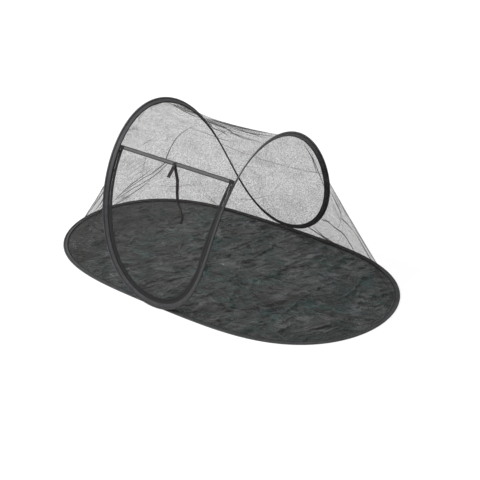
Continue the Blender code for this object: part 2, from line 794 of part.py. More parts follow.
SLIDER_INSIDE = COIL_HEIGHT / 2 + SLIDER_CLEARANCE
SLIDER_FACE = SLIDER_INSIDE + SLIDER_PLATE
SLIDER_LIP = TAPE_THICKNESS / 2 + SLIDER_CLEARANCE
SLIDER_GUIDE = COIL_OUTER + SLIDER_CLEARANCE
DIVIDER = COIL_INNER - SLIDER_CLEARANCE
PULL_PIVOT_LEVEL = SLIDER_FACE + BAIL_HOLE / 2
PULL_PIVOT_AT = -(BAIL_LENGTH / 2 - BAIL_BAR - BAIL_HOLE / 2)


def slider_ring(along, half_width):
    """The two plates with their turned-in rims, joined by the divider."""
    quarter = [
        (half_width, SLIDER_FACE), (half_width, SLIDER_LIP), (SLIDER_GUIDE, SLIDER_LIP),
        (SLIDER_GUIDE, SLIDER_INSIDE), (DIVIDER, SLIDER_INSIDE),
    ]
    right = quarter + [(a, -o) for a, o in reversed(quarter)]
    outline = right + [(-a, o) for a, o in reversed(right)]
    return [(a, along, o) for a, o in outline]


def slider(side_name, side):
    reach = SLIDER_LENGTH / 2
    tail = SLIDER_TAIL / 2
    shoulder = SLIDER_SHOULDER / 2
    trim = 0.5 * MM
    stages = (
        (-reach, tail - trim), (trim - reach, tail), (0.1 * reach, tail),
        (0.6 * reach, shoulder), (reach - trim, shoulder), (reach, shoulder - trim),
    )
    body = loft("slider_" + side_name, [slider_ring(*stage) for stage in stages], "slider")
    add_bail(body, side_name)
    place = leg_matrix(SLIDER_PARK, side)
    body.matrix_world = place

    pull = pull_tab("pull_" + side_name)
    bail = Matrix.Translation((0.0, PULL_PIVOT_AT, PULL_PIVOT_LEVEL))
    pull.matrix_world = place @ bail

    middle = LEG_CENTRE if side > 0 else mirrored(LEG_CENTRE)
    track = empty("slider_" + side_name + "_pivot", middle)
    pivot = empty("pull_" + side_name + "_pivot", (place @ bail).translation)
    carry(pivot, [pull])
    carry(track, [body, pivot])


def add_bail(body, side_name):
    """The bridge on the slider's face that the pull hangs from."""
    half = BAIL_LENGTH / 2
    inside = half - BAIL_BAR
    foot = SLIDER_FACE - 0.4 * MM
    roof = SLIDER_FACE + BAIL_HOLE
    top = roof + BAIL_BAR
    bevel = 0.5 * MM
    outline = (
        (-half, foot), (-half, top - bevel), (bevel - half, top), (half - bevel, top),
        (half, top - bevel), (half, foot), (inside, foot), (inside, roof), (-inside, roof), (-inside, foot),
    )
    rings = [[(a, s, o) for s, o in outline] for a in (-BAIL_WIDTH / 2, BAIL_WIDTH / 2)]
    bridge = loft("bail_" + side_name, rings, "slider")
    TENT.objects.unlink(bridge)
    CUTTERS.objects.link(bridge)
    bridge.hide_render = True
    bridge.display_type = "WIRE"
    bridge.matrix_world = Matrix.Identity(4)
    join = body.modifiers.new("bail", "BOOLEAN")
    join.operation = "UNION"
    join.solver = "EXACT"
    join.object = bridge
    fix_union(body, bridge)


def fix_union(body, bridge):
    """Make the joined shape the body's own mesh, so that it can be placed freely."""
    bpy.context.view_layer.update()
    seen = body.evaluated_get(bpy.context.evaluated_depsgraph_get())
    data = bpy.data.meshes.new_from_object(seen)
    body.modifiers.clear()
    body.data = data
    bpy.data.objects.remove(bridge, do_unlink=True)


def pull_tab(name):
    """A flat tab with a window for the bail, hanging from its own top bar."""
    data = bpy.data.curves.new(name, "CURVE")
    data.dimensions = "2D"
    data.fill_mode = "BOTH"
    data.extrude = PULL_THICKNESS / 2
    top = PULL_THICKNESS / 2
    half = PULL_WIDTH / 2
    trim = 1.2 * MM
    waist = half - 0.7 * MM
    low = top - PULL_LENGTH
    outer = [
        (half - trim, top), (half, top - trim), (waist, -8 * MM), (half, low + 4 * MM), (half - trim, low),
    ]
    outer += [(-a, s) for a, s in reversed(outer)]
    inner = half - PULL_RAIL
    hole = [(inner, -top), (inner, -top - PULL_WINDOW), (-inner, -top - PULL_WINDOW), (-inner, -top)]
    for outline in (outer, hole):
        spline = data.splines.new("POLY")
        spline.points.add(len(outline) - 1)
        for point, (a, s) in zip(spline.points, outline):
            point.co = (a, s, 0.0, 1.0)
        spline.use_cyclic_u = True
    return add(name, data, "slider")


# Start
for old in list(bpy.data.objects):
    bpy.data.objects.remove(old, do_unlink=True)
TENT = bpy.data.collections.new("pet_tent")
CUTTERS = bpy.data.collections.new("cutters")
bpy.context.scene.collection.children.link(TENT)
bpy.context.scene.collection.children.link(CUTTERS)

framed_wire("hoop", hoop_wire_point, 20.0)
framed_wire("floor_ring", ring_wire_point, 20.0)
hoop_sleeve()
floor_hem()
floor_sheet()
end_panels()
saddle_panels()
door_front()
door_header()
ties()
slider("right", 1)
slider("left", -1)
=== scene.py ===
# %% [markdown]
# # A pop-up mesh tent for a pet
# Two closed spring wires carry this tent: one lies flat in the hem of the groundsheet, and one is
# bent into a saddle that makes an arch at each side. The CAD model holds their true places, and this
# lesson dresses it: cloths, netting, tapes, a zip and straps, each made the way the real one is.
# All lengths are in metres.

import json
import math

import bpy
import numpy as np
from mathutils import Matrix, Vector

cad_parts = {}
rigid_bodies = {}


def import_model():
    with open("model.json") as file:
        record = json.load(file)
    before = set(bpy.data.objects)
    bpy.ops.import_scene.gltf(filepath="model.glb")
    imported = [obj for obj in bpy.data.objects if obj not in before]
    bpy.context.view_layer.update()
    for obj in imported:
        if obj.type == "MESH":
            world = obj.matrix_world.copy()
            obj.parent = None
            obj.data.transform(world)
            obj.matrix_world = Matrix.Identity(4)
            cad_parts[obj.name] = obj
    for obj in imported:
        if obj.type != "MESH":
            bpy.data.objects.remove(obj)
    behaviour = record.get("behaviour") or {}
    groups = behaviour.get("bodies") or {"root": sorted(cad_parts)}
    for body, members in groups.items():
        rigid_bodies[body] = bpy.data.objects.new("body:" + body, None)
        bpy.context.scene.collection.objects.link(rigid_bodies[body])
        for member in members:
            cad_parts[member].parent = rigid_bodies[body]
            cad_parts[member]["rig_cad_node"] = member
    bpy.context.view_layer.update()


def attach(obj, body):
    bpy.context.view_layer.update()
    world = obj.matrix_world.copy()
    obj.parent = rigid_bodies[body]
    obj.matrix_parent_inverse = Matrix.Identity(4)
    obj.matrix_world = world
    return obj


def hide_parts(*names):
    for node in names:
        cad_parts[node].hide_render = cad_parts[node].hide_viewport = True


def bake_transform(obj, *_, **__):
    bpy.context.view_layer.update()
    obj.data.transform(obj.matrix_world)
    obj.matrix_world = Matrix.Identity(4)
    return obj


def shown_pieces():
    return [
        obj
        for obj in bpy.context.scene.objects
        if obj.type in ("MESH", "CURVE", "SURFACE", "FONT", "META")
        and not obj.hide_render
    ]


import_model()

MM = 0.001

# %% [markdown]
# ## The two wires
# A twisted ring of spring wire settles into a smooth wave, so each ring is written as a few sines of
# one turn. Angle 0 is the top of the right arch, 90 the foot at the back, 180 the top of the left
# arch and 270 the foot at the front. A few shares make the arches rounder, narrower in the waist or
# flatter on top, and fill out the sides. The CAD solids follow the same curves, so the cloths land on
# them exactly.

# %% Curves of the hoop and the floor ring
FLOOR_LENGTH, FLOOR_WIDTH = 1.75, 0.877
FLOOR_SIDE, FLOOR_END = 0.1131, 0.0293
ARCH_SPACING, ARCH_HEIGHT = 0.707, 0.6992
ARCH_WAIST, ARCH_ROUNDING, ARCH_SHARPNESS = -0.1406, 0.0274, -0.0097
HOOP_SIDE, HOOP_FOOT, HOOP_OUTSET = 0.1093, 10.5 * MM, 0.5 * MM
HEADER_HEIGHT, SEAM_HEIGHT = 0.587, 0.383
FRONT, BACK = 270.0, 450.0


def unit(vector):
    return vector / np.linalg.norm(vector)


SIDES = {"right": False, "left": True}  # whether a side is the mirrored one


def flip(points):
    """The same points on the other side of the tent."""
    return np.array(points) * np.array([-1.0, 1.0, 1.0])


def hoop_point(degrees):
    t = math.radians(degrees)
    third, fifth = (math.cos(turns * t) - math.cos(t) for turns in (3, 5))
    x = math.cos(t) + ARCH_WAIST * third + ARCH_ROUNDING * fifth
    y = math.sin(t) + HOOP_SIDE * (math.sin(t) + math.sin(3 * t))
    lift = (1 + math.cos(2 * t)) / 2 + ARCH_SHARPNESS * (1 - math.cos(4 * t)) / 2
    z = HOOP_FOOT + (ARCH_HEIGHT - HOOP_FOOT) * lift
    return np.array([ARCH_SPACING / 2 * x, (FLOOR_WIDTH / 2 + HOOP_OUTSET) * y, z])


def ring_point(degrees):
    t = math.radians(degrees)
    x = math.cos(t) + FLOOR_END * (math.cos(3 * t) - math.cos(t))
    y = math.sin(t) + FLOOR_SIDE * (math.sin(t) + math.sin(3 * t))
    return np.array([FLOOR_LENGTH / 2 * x, FLOOR_WIDTH / 2 * y, 0.0])


def direction(curve, degrees, step=0.02):
    return unit(curve(degrees + step) - curve(degrees - step))


def solve(rising, target, low, high):
    for _ in range(50):
        middle = (low + high) / 2
        low, high = (middle, high) if rising(middle) < target else (low, middle)
    return (low + high) / 2


print("arch top:", np.round(hoop_point(0), 3), "front foot:", np.round(hoop_point(270), 3))

# %% [markdown]
# ## Which way the sleeve points
# The hoop's sleeve is a folded band. Its two free edges are pulled by the end netting on one side and
# by the roof or door netting on the other, so the band turns as it goes round: it points down at the
# top of an arch and up at the feet. Aiming it at one spot inside the tent gives that turn with one rule.
# The third axis is the side that the end netting leaves from. The band holds two layers of net between
# its legs. Each is tucked in by 10 mm and turns off towards its own panel 2.4 mm past the mouth.

# %% Frames along the sleeve and the hem
CLOTH = 0.9 * MM
NET = 0.6 * MM
SLOT_GAP = 0.5 * MM
BAND = 22 * MM
TUCK = 10 * MM
TURN = 2.4 * MM
FERRULE_ROOM = 2.25 * MM
LAYER = (NET + SLOT_GAP) / 2
LEG = (3 * SLOT_GAP + 2 * NET + CLOTH) / 2
TUBE = FERRULE_ROOM / math.cos(math.pi / 6) + CLOTH / 2
LIP = BAND / 2
MOUTH = LIP + TURN
WIRE_AT = TUBE + CLOTH / 2 - LIP
HEM_NET = 2 * LEG - SLOT_GAP - NET / 2
HEM_SHEET = CLOTH + 0.7 * MM
AIM_X, AIM_Y, AIM_HEIGHT = 0.7824, 0.4255, 0.3184


def sleeve_frame(degrees):
    point = hoop_point(degrees)
    along = direction(hoop_point, degrees)
    aim = np.array([-AIM_X * point[0], -AIM_Y * point[1], AIM_HEIGHT - point[2]])
    inward = unit(aim - aim.dot(along) * along)
    outer = ring_point(degrees) - point
    outer = outer - outer.dot(along) * along
    outer = unit(outer - outer.dot(inward) * inward)
    return point, inward, outer


def in_sleeve(degrees, along_leg, across):
    point, inward, outer = sleeve_frame(degrees)
    return point + along_leg * inward + across * outer


def in_hem(degrees, inset, height):
    along = direction(ring_point, degrees)
    inward = np.array([-along[1], along[0], 0.0])
    return ring_point(degrees) + inset * inward + np.array([0.0, 0.0, height])


for place, degrees in (("top of an arch", 360), ("front foot", 270)):
    print("at the", place, "the sleeve points", np.round(sleeve_frame(degrees)[1], 2))

# %% [markdown]
# ## The zip's line
# The zip runs 9 mm inside the sleeve round the front. On its upper legs the slider has to run freely,
# so there the line is one circle, found through three points; below it blends into the round of the
# U. A frame on that line gives "towards the door" and "out of the tent" for tapes, coil and slider.

# %% Frames along the zip
ZIP_IN = 9 * MM
HEADER_AT = solve(lambda t: hoop_point(t)[2], HEADER_HEIGHT, 280.0, 359.0)
LEG_LOW = FRONT + 0.57 * (HEADER_AT - FRONT)
LEG_BLEND = 0.12 * (HEADER_AT - FRONT)


def door_edge(degrees):
    return in_sleeve(degrees, MOUTH, -LAYER)


def door_axes(degrees):
    turn = degrees - FRONT
    rise = door_edge(FRONT + turn + 2.0) - door_edge(FRONT + max(turn - 2.0, 0.0))
    rise[0] = 0.0
    rise = unit(rise)
    outward = np.array([0.0, -rise[2], rise[1]])
    along = direction(door_edge, degrees)
    along = unit(along - along.dot(outward) * outward)
    return along, np.cross(outward, along), outward


def zip_offset(degrees):
    return door_edge(degrees) + ZIP_IN * door_axes(degrees)[1]


first, second, third = (zip_offset(t) for t in (LEG_LOW, (LEG_LOW + HEADER_AT) / 2, HEADER_AT))
arms = [second - first, third - first]
CIRCLE_AXIS = np.cross(*arms)
to_centre = np.cross(arms[0].dot(arms[0]) * arms[1] - arms[1].dot(arms[1]) * arms[0], CIRCLE_AXIS)
CENTRE = first + to_centre / (2 * CIRCLE_AXIS.dot(CIRCLE_AXIS))
CIRCLE_AXIS = unit(CIRCLE_AXIS)


def from_axis(point):
    arm = point - CENTRE
    return arm - arm.dot(CIRCLE_AXIS) * CIRCLE_AXIS


LEG_START = unit(from_axis(zip_offset(HEADER_AT)))
LEG_RADIUS = float(np.linalg.norm(zip_offset(HEADER_AT) - CENTRE))
LEG_UP = np.cross(CIRCLE_AXIS, LEG_START)
if LEG_UP[2] < 0:
    CIRCLE_AXIS, LEG_UP = -CIRCLE_AXIS, -LEG_UP


def above_header(place):
    """Distance above the header's middle line, along the slider's circle."""
    arm = unit(from_axis(place))
    return LEG_RADIUS * math.atan2(arm.dot(LEG_UP), arm.dot(LEG_START))


def leg_distance(degrees):
    return above_header(zip_offset(degrees))


def leg_angle(distance):
    return solve(leg_distance, distance, LEG_LOW - 10.0, HEADER_AT + 12.0)


def leg_radial(distance):
    angle = distance / LEG_RADIUS
    return math.cos(angle) * LEG_START + math.sin(angle) * LEG_UP


halfway = (LEG_LOW + HEADER_AT) / 2
normal = door_axes(halfway)[2]
LEG_ROLL = math.atan2(normal.dot(CIRCLE_AXIS), normal.dot(leg_radial(leg_distance(halfway))))


def leg_frame(distance):
    radial = leg_radial(distance)
    along = np.cross(CIRCLE_AXIS, radial)
    outward = math.cos(LEG_ROLL) * radial + math.sin(LEG_ROLL) * CIRCLE_AXIS
    return CENTRE + LEG_RADIUS * radial, along, np.cross(outward, along), outward


def zip_frame(degrees):
    share = min(max((degrees - LEG_LOW) / LEG_BLEND + 1.0, 0.0), 1.0)
    share = share * share * (3 - 2 * share)
    point = zip_offset(degrees)
    along, across, outward = door_axes(degrees)
    leg_point, leg_along, _, leg_outward = leg_frame(leg_distance(degrees))
    point = point + share * (leg_point - point)
    along = unit(along + share * (leg_along - along))
    outward = outward + share * (leg_outward - outward)
    outward = unit(outward - outward.dot(along) * along)
    return point, along, np.cross(outward, along), outward


def off(frame_here, across, outward):
    return frame_here[0] + across * frame_here[2] + outward * frame_here[3]


HEADER_HALF = 17 * MM / 2
HINGE_DROP = 66 * MM
HINGE_AT = leg_angle(-HINGE_DROP)
SEAM_AT = 360.0 + solve(lambda t: -hoop_point(t)[2], -SEAM_HEIGHT, 5.0, 85.0)
ROOF_EDGE_AT = leg_angle(4 * MM)
STRIP_TOP_AT = leg_angle(-4 * MM)
ZIP_TOP_AT = leg_angle(1 * MM)
print("header at", round(HEADER_AT, 1), "degrees, fold at", round(HINGE_AT, 1), "degrees")
print("the sliders run on a circle of radius", round(LEG_RADIUS, 3), "m")

# %% [markdown]
# ## Writing finishes as sums
# A finish is a small calculation: a pattern times a strength, added to a base. Wiring that by hand is
# slow to read, so a value from any node is wrapped here and ordinary arithmetic on it adds the Math
# nodes. Colours mix through a Mix node, because a Math node would turn them grey.

# %% Values and finishes
class Value:
    """One output of a node, which can be used in arithmetic."""

    def __init__(self, finish, socket):
        self.finish = finish
        self.socket = socket

    def math(self, operation, *others):
        values = dict(enumerate((self, *others)))
        return self.finish.node("ShaderNodeMath", {"operation": operation}, values)

    def __add__(self, other):
        return self.math("ADD", other)

    def __sub__(self, other):
        return self.math("SUBTRACT", other)

    def __mul__(self, other):
        return self.math("MULTIPLY", other)

    def __truediv__(self, other):
        return self.math("DIVIDE", other)

    def __rsub__(self, other):
        return self * -1.0 + other

    __radd__ = __add__
    __rmul__ = __mul__

    def clipped(self, low, high):
        """0 below low, 1 above high, and smooth between them."""
        settings = {"interpolation_type": "SMOOTHSTEP"}
        ends = {"Value": self, "From Min": low, "From Max": high}
        return self.finish.node("ShaderNodeMapRange", settings, ends)


class Wiring:
    """A tree of nodes that is being written."""

    def __init__(self, tree):
        self.tree = tree

    def node(self, kind, settings=None, values=None, out=0):
        """Any node, by its type, its settings and what its sockets hold. Gives one of its outputs."""
        made = self.tree.nodes.new(kind)
        for name, setting in (settings or {}).items():
            setattr(made, name, setting)
        for name, value in (values or {}).items():
            if isinstance(value, Value):
                self.tree.links.new(value.socket, made.inputs[name])
            else:
                made.inputs[name].default_value = value
        return Value(self, made.outputs[out]) if made.outputs else None

    def split(self, vector):
        """The three parts of a vector, as values."""
        made = self.node("ShaderNodeSeparateXYZ", None, {0: vector}).socket.node
        return [Value(self, output) for output in made.outputs]


class Finish(Wiring):
    """The material of one kind of surface."""

    def __init__(self, name, colour, roughness, metallic=0.0):
        self.material = bpy.data.materials.new(name)
        self.material.use_nodes = True
        super().__init__(self.material.node_tree)
        self.shader = self.tree.nodes["Principled BSDF"]
        self.put("Base Color", rgba(colour))
        self.put("Roughness", roughness)
        self.put("Metallic", metallic)
        self.material.diffuse_color = rgba(colour)

    def put(self, name, value):
        if isinstance(value, Value):
            self.tree.links.new(value.socket, self.shader.inputs[name])
        else:
            self.shader.inputs[name].default_value = value

    def mix(self, share, one, other):
        settings = {"data_type": "RGBA"}
        return self.node("ShaderNodeMix", settings, {0: share, 6: one, 7: other}, 2)

    def place(self):
        """Where this spot is on the object, in metres."""
        return self.node("ShaderNodeTexCoord", out=3)

    def cloth(self):
        """Distances across and along the cloth, in metres, stored on its points."""
        return self.split(self.node("ShaderNodeAttribute", {"attribute_name": "cloth"}, out=1))[:2]

    def noise(self, where, scale, detail=2.0, roughness=0.5):
        values = {"Vector": where, "Scale": scale, "Detail": detail, "Roughness": roughness}
        return self.node("ShaderNodeTexNoise", None, values)

    def stretched(self, where, scale):
        return self.node("ShaderNodeVectorMath", {"operation": "MULTIPLY"}, {0: where, 1: scale})

    def joined(self, *parts):
        return self.node("ShaderNodeCombineXYZ", None, dict(enumerate(parts)))

    def bumps(self, height, distance, strength=1.0):
        values = {"Height": height, "Distance": distance, "Strength": strength}
        self.put("Normal", self.node("ShaderNodeBump", None, values))


def tone(red, green, blue):
    """A screen colour from 0 to 255 as the light that a finish needs."""
    levels = [value / 255 for value in (red, green, blue)]
    return tuple(level / 12.92 if level < 0.04045 else ((level + 0.055) / 1.055) ** 2.4 for level in levels)


def rgba(colour):
    return (*colour, 1.0)


print("a mid grey is", round(tone(128, 128, 128)[0], 3), "in light")

# %% [markdown]
# ## Netting
# Real netting is thread with air between. Modelling each thread would take millions of faces, so the
# panels are single sheets and the threads are drawn in their transparency: a fine grid that follows
# the cloth's own two directions. The grid is finer than a pixel from a step away, so a part of the
# cover is spread evenly, a fine grain breaks it up, and a few long streaks of a stretched noise stand
# for threads that crowd together. What grain and streaks add on average is taken off again. Pleats and
# creases get denser netting, since the cloth is double there, and the seam allowance at the back a
# thinner one, since its thread is paler.

# %% Netting finish
THREAD_PITCH = 1.7 * MM
GRAIN, EVEN = 0.30, 0.16


def netting(name, cover, crease=0.09, pattern=0.5):
    finish = Finish(name, tone(40, 36, 34), 0.85)
    across, along = finish.cloth()
    lines = [
        (distance * (math.pi / THREAD_PITCH)).math("COSINE").math("ABSOLUTE") for distance in (across, along)
    ]
    width = math.pi / 2 * (1 - math.sqrt(1 - cover))
    thread = lines[0].math("MAXIMUM", lines[1]).clipped(math.cos(1.35 * width), math.cos(0.65 * width))
    where = finish.place()
    streaks = finish.noise(finish.stretched(where, (7.0, 24.0, 12.0)), 1.0, 2.0, 0.5).clipped(0.45, 0.75)
    grain = finish.noise(where, 210.0, 2.0, 0.7).clipped(0.32, 0.68)
    spread = streaks * crease + grain * GRAIN + (cover * (1 - pattern) - EVEN)
    finish.put("Alpha", thread * pattern + spread)
    finish.put("Specular IOR Level", 0.2)
    return finish.material


END_NET = netting("end netting", 0.31)
ROOF_NET = netting("roof netting", 0.325)
DOOR_NET = netting("door netting", 0.34)
PLEAT_NET = netting("gathered netting", 0.82, 0.15, 0.2)
CREASE_NET = netting("creased netting", 0.34, 0.12, 0.2)
SEAM_CLOTH = netting("seam allowance", 0.10, 0.0, 0.1)
print("netting finishes:", END_NET.name, ROOF_NET.name, DOOR_NET.name)

# %% [markdown]
# ## Woven tapes and bindings
# The sleeve, the hem, the header and the straps are woven polyester tape. Up close it is a fine twill, so
# two crossed waves in the cloth's own directions raise it a little, and a slow noise keeps the grey from
# looking printed. The bindings have a darker line where each edge is turned and sewn, which is partly the
# seam's own colour and partly painted shade of the seam.
# The sleeve's colour is painted paler high up on the arches, as light falling from above, and painted darker
# on the right leg of the door, as shade.

# %% Woven finishes
def woven(name, colour, lines=(), dark=None, pitch=0.9 * MM, fleck=0.12, painted_top_light=None):
    finish = Finish(name, colour, 0.85)
    across, along = finish.cloth()
    twill = [(part * (math.pi / pitch)).math("SINE") for part in (across + along, across - along)]
    slow = finish.noise(finish.place(), 60.0, 3.0)
    low, high = (rgba([level * share for level in colour]) for share in (1 - fleck, 1 + fleck))
    shade = finish.mix(slow.clipped(0.3, 0.75), low, high)
    # Painted light: paler high up on the arches. Painted shade: darker on the door's right leg.
    if painted_top_light:
        x, y, height = finish.split(finish.place())
        in_front = 1.0 - y.clipped(-0.20, -0.05)
        painted_shade_right_leg = x.clipped(-0.10, 0.12) * in_front * (1.0 - height.clipped(0.58, 0.63))
        shade = finish.mix(height.clipped(0.40, 0.62) * (1.0 - painted_shade_right_leg) * 0.6, shade, rgba(painted_top_light))
        shade = finish.mix(painted_shade_right_leg * 0.5, shade, rgba(dark))
    # Dark lines along the edges. On the bindings they are partly painted seam shade.
    from_middle = across.math("ABSOLUTE")
    for place, reach in lines:
        near = 1.0 - (from_middle - place).math("ABSOLUTE").clipped(0.6 * reach, reach)
        shade = finish.mix(near, shade, rgba(dark))
    finish.put("Base Color", shade)
    finish.put("Specular IOR Level", 0.25)
    finish.bumps(twill[0] * twill[1], 0.12 * MM, 0.7)
    return finish.material


PAINTED_SHADE = tone(37, 37, 38)
# The pale colour given for high up on the arches is painted light from above.
SLEEVE_CLOTH = woven(
    "sleeve binding", tone(63, 63, 65), [(27.5 * MM, 3.2 * MM), (9 * MM, 1.6 * MM)], PAINTED_SHADE,
    fleck=0.2, painted_top_light=tone(112, 112, 114),
)
HEM_CLOTH = woven("hem binding", tone(64, 65, 66), [(22.5 * MM, 3.4 * MM)], PAINTED_SHADE, fleck=0.22)
HEADER_CLOTH = woven(
    "header webbing", tone(86, 85, 84), [(8.5 * MM, 4.6 * MM)], tone(36, 36, 37), pitch=1.2 * MM
)
TIE_CLOTH = woven("tie strap", tone(36, 34, 36), pitch=1.1 * MM)
ZIP_CLOTH = woven("zip tape", tone(30, 30, 31), pitch=0.8 * MM)
THREAD = woven("sewing thread", tone(50, 50, 52), pitch=0.5 * MM)
SEAM_THREAD = woven("seam thread", tone(206, 146, 140), pitch=0.5 * MM)
print("woven finishes:", SLEEVE_CLOTH.name, HEM_CLOTH.name, HEADER_CLOTH.name)

# %% [markdown]
# ## Groundsheet
# The groundsheet is thin coated cloth. It has a slight green cast in broad patches, a brown-pink one in
# others, and it shines softly along its small creases. Those are far more than could be modelled one by one,
# so the long ones are shapes, further down, and the small ones are two stretched noises that cross, raised
# with a bump, with their valleys painted darker as shade. Thin pale lines along some folds are painted
# highlights. The cloth's colour is darkened along its edge and at the left end as painted shade.

# %% Groundsheet finish
def coating_colours(finish, where):
    """Broad patches of grey, green and pink, with slow darker clouds."""
    green = finish.noise(where, 5.5, 3.0).clipped(0.46, 0.58)
    shade = finish.mix(green, rgba(tone(106, 109, 111)), rgba(tone(50, 82, 78)))
    pink = finish.noise(finish.stretched(where, (1.0, 1.6, 1.0)), 4.2, 3.0).clipped(0.60, 0.70)
    shade = finish.mix(pink, shade, rgba(tone(104, 99, 100)))
    clouds = finish.noise(finish.stretched(where, (9.0, 13.0, 10.0)), 1.0, 2.5).clipped(0.36, 0.64)
    return finish.mix(clouds * 0.6, shade, rgba(tone(32, 43, 42)))


def crushed(finish, where, broken):
    """Two fields of narrow folds at different angles, which take turns over the cloth."""
    fields = []
    for turn, across in ((-1.05, 66.0), (-0.30, 54.0)):
        values = {"Vector": broken, "Angle": turn}
        turned = finish.node("ShaderNodeVectorRotate", {"rotation_type": "Z_AXIS"}, values)
        fields.append(finish.noise(finish.stretched(turned, (12.0, across, 60.0)), 1.0, 3.5, 0.62))
    share = finish.noise(where, 5.0, 2.0).clipped(0.44, 0.56)
    return fields[0] * (1.0 - share) + fields[1] * share


HALF_SHEET = (0.87, 0.44)


def groundsheet_finish():
    finish = Finish("groundsheet", tone(70, 76, 77), 0.42)
    where = finish.place()
    shift = finish.joined(finish.noise(where, 14.0, 2.0) * 0.045, 0.0, 0.0)
    broken = finish.node("ShaderNodeVectorMath", {"operation": "ADD"}, {0: where, 1: shift})
    folds = crushed(finish, where, broken)
    shade = coating_colours(finish, where)
    # Painted shade: the valleys of the narrow folds are darkened in the colour.
    shade = finish.mix(folds.clipped(0.39, 0.59), rgba(tone(22, 27, 27)), shade)
    # Painted highlights: thin pale lines along some folds.
    long = finish.noise(broken, 8.0, 3.0, 0.55)
    painted_crease_highlight = 1.0 - (long - 0.5).math("ABSOLUTE").clipped(0.0, 0.016)
    painted_crease_highlight = painted_crease_highlight * finish.noise(where, 17.0, 1.0).clipped(0.42, 0.62)
    shade = finish.mix(painted_crease_highlight * 0.45, shade, rgba(tone(136, 138, 138)))
    # Painted shade and shadow: darker along the edge and at the left end.
    length, width = (part / half for part, half in zip(finish.cloth(), HALF_SHEET))
    edge = (length * length + width * width).clipped(0.72, 1.0)
    left_end_shadow = (length * -1.0).clipped(0.40, 0.78)
    darker = edge * 0.45 + left_end_shadow * 0.75
    finish.put("Base Color", finish.mix(darker, shade, rgba(tone(34, 38, 38))))
    finish.put("Roughness", folds * 0.3 + 0.26)
    finish.bumps(folds + painted_crease_highlight * 0.1, 24.0 * MM, 1.0)
    return finish.material


GROUNDSHEET = groundsheet_finish()
print("groundsheet finish has", len(GROUNDSHEET.node_tree.nodes), "nodes")

# %% [markdown]
# ## Coil and metal
# The zip coil is nylon and the sliders are enamelled metal, so both are smooth and dark; the spring
# wire is bare steel. None of them is perfectly even, so a very fine noise varies the gloss.

# %% Smooth finishes
def smooth_finish(name, colour, roughness, metallic=0.0):
    finish = Finish(name, colour, roughness, metallic)
    marks = finish.noise(finish.place(), 900.0, 2.0)
    finish.put("Roughness", marks * 0.16 + (roughness - 0.08))
    finish.bumps(marks, 0.04 * MM, 0.4)
    return finish.material


COIL = smooth_finish("nylon coil", tone(26, 26, 27), 0.55)
ENAMEL = smooth_finish("black enamel", tone(36, 36, 38), 0.32, 0.6)
STEEL = smooth_finish("spring steel", tone(176, 177, 180), 0.3, 1.0)
print("finishes so far:", len(bpy.data.materials))

# %% [markdown]
# ## Cloth from rows
# Every cloth here is a grid of points: rows along a seam, each row going from one edge of the cloth to
# the other. Blender's Solidify modifier then gives it its thickness. Two distances are stored on the
# points, across and along the cloth, for the weave to follow. A net stays a single sheet, because its
# thread is thinner than anything that shows.

# %% Cloth builder
def running(steps):
    """Running sums of some steps, starting from nothing."""
    return np.concatenate([[0.0], np.cumsum(steps)])


def walked(path):
    """How far along a line each of its points is."""
    return running(np.linalg.norm(np.diff(path, axis=0), axis=1))


def between(at, known, points):
    """Points at some distances along a line, from its points at known distances."""
    return np.stack([np.interp(at, known, points[:, k]) for k in range(points.shape[1])], axis=-1)


def add_piece(name, corners, faces, distances, finish, body, even=True):
    """A mesh with its finish, carried by a body. The distances are those that the weave follows."""
    data = bpy.data.meshes.new(name)
    data.from_pydata([tuple(corner) for corner in corners], [], faces)
    values = np.zeros((len(corners), 3))
    values[:, :2] = np.transpose(distances)
    data.attributes.new("cloth", "FLOAT_VECTOR", "POINT").data.foreach_set("vector", values.ravel())
    data.materials.append(finish)
    if even:
        data.shade_smooth()
    made = bpy.data.objects.new(name, data)
    bpy.context.collection.objects.link(made)
    if body:
        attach(made, body)
    return made


def cloth(name, rows, thickness, finish, closed=False, body="tent", measure=None):
    points = np.array(rows, float)
    count, width = points.shape[:2]
    if measure is None:
        steps = np.linalg.norm(np.diff(points, axis=1), axis=2).mean(axis=0)
        across = np.tile(running(steps) - steps.sum() / 2, (count, 1))
        steps = np.linalg.norm(np.diff(points, axis=0), axis=2).mean(axis=1)
        along = np.tile(running(steps)[:, None], (1, width))
    else:
        across, along = measure(points)
    number = np.arange(count * width).reshape(count, width)
    after = np.roll(number, -1, axis=0) if closed else number[1:]
    before = number if closed else number[:-1]
    faces = np.stack([before[:, :-1], after[:, :-1], after[:, 1:], before[:, 1:]], axis=-1).reshape(-1, 4)
    distances = across.ravel(), along.ravel()
    made = add_piece(name, points.reshape(-1, 3).tolist(), faces.tolist(), distances, finish, body)
    if thickness:
        shell = made.modifiers.new("thickness", "SOLIDIFY")
        shell.thickness = thickness
        shell.offset = 0.0
        shell.use_even_offset = True
    return made


# %% [markdown]
# ## Creases
# Cloth that was folded or crushed keeps short creases. A cloth simulation would find its own ones in
# the wrong places, so each crease here is a soft ridge at a random place and angle: one bell curve
# along it and a narrow one across it. Many of them add up to a height over the cloth's grid.

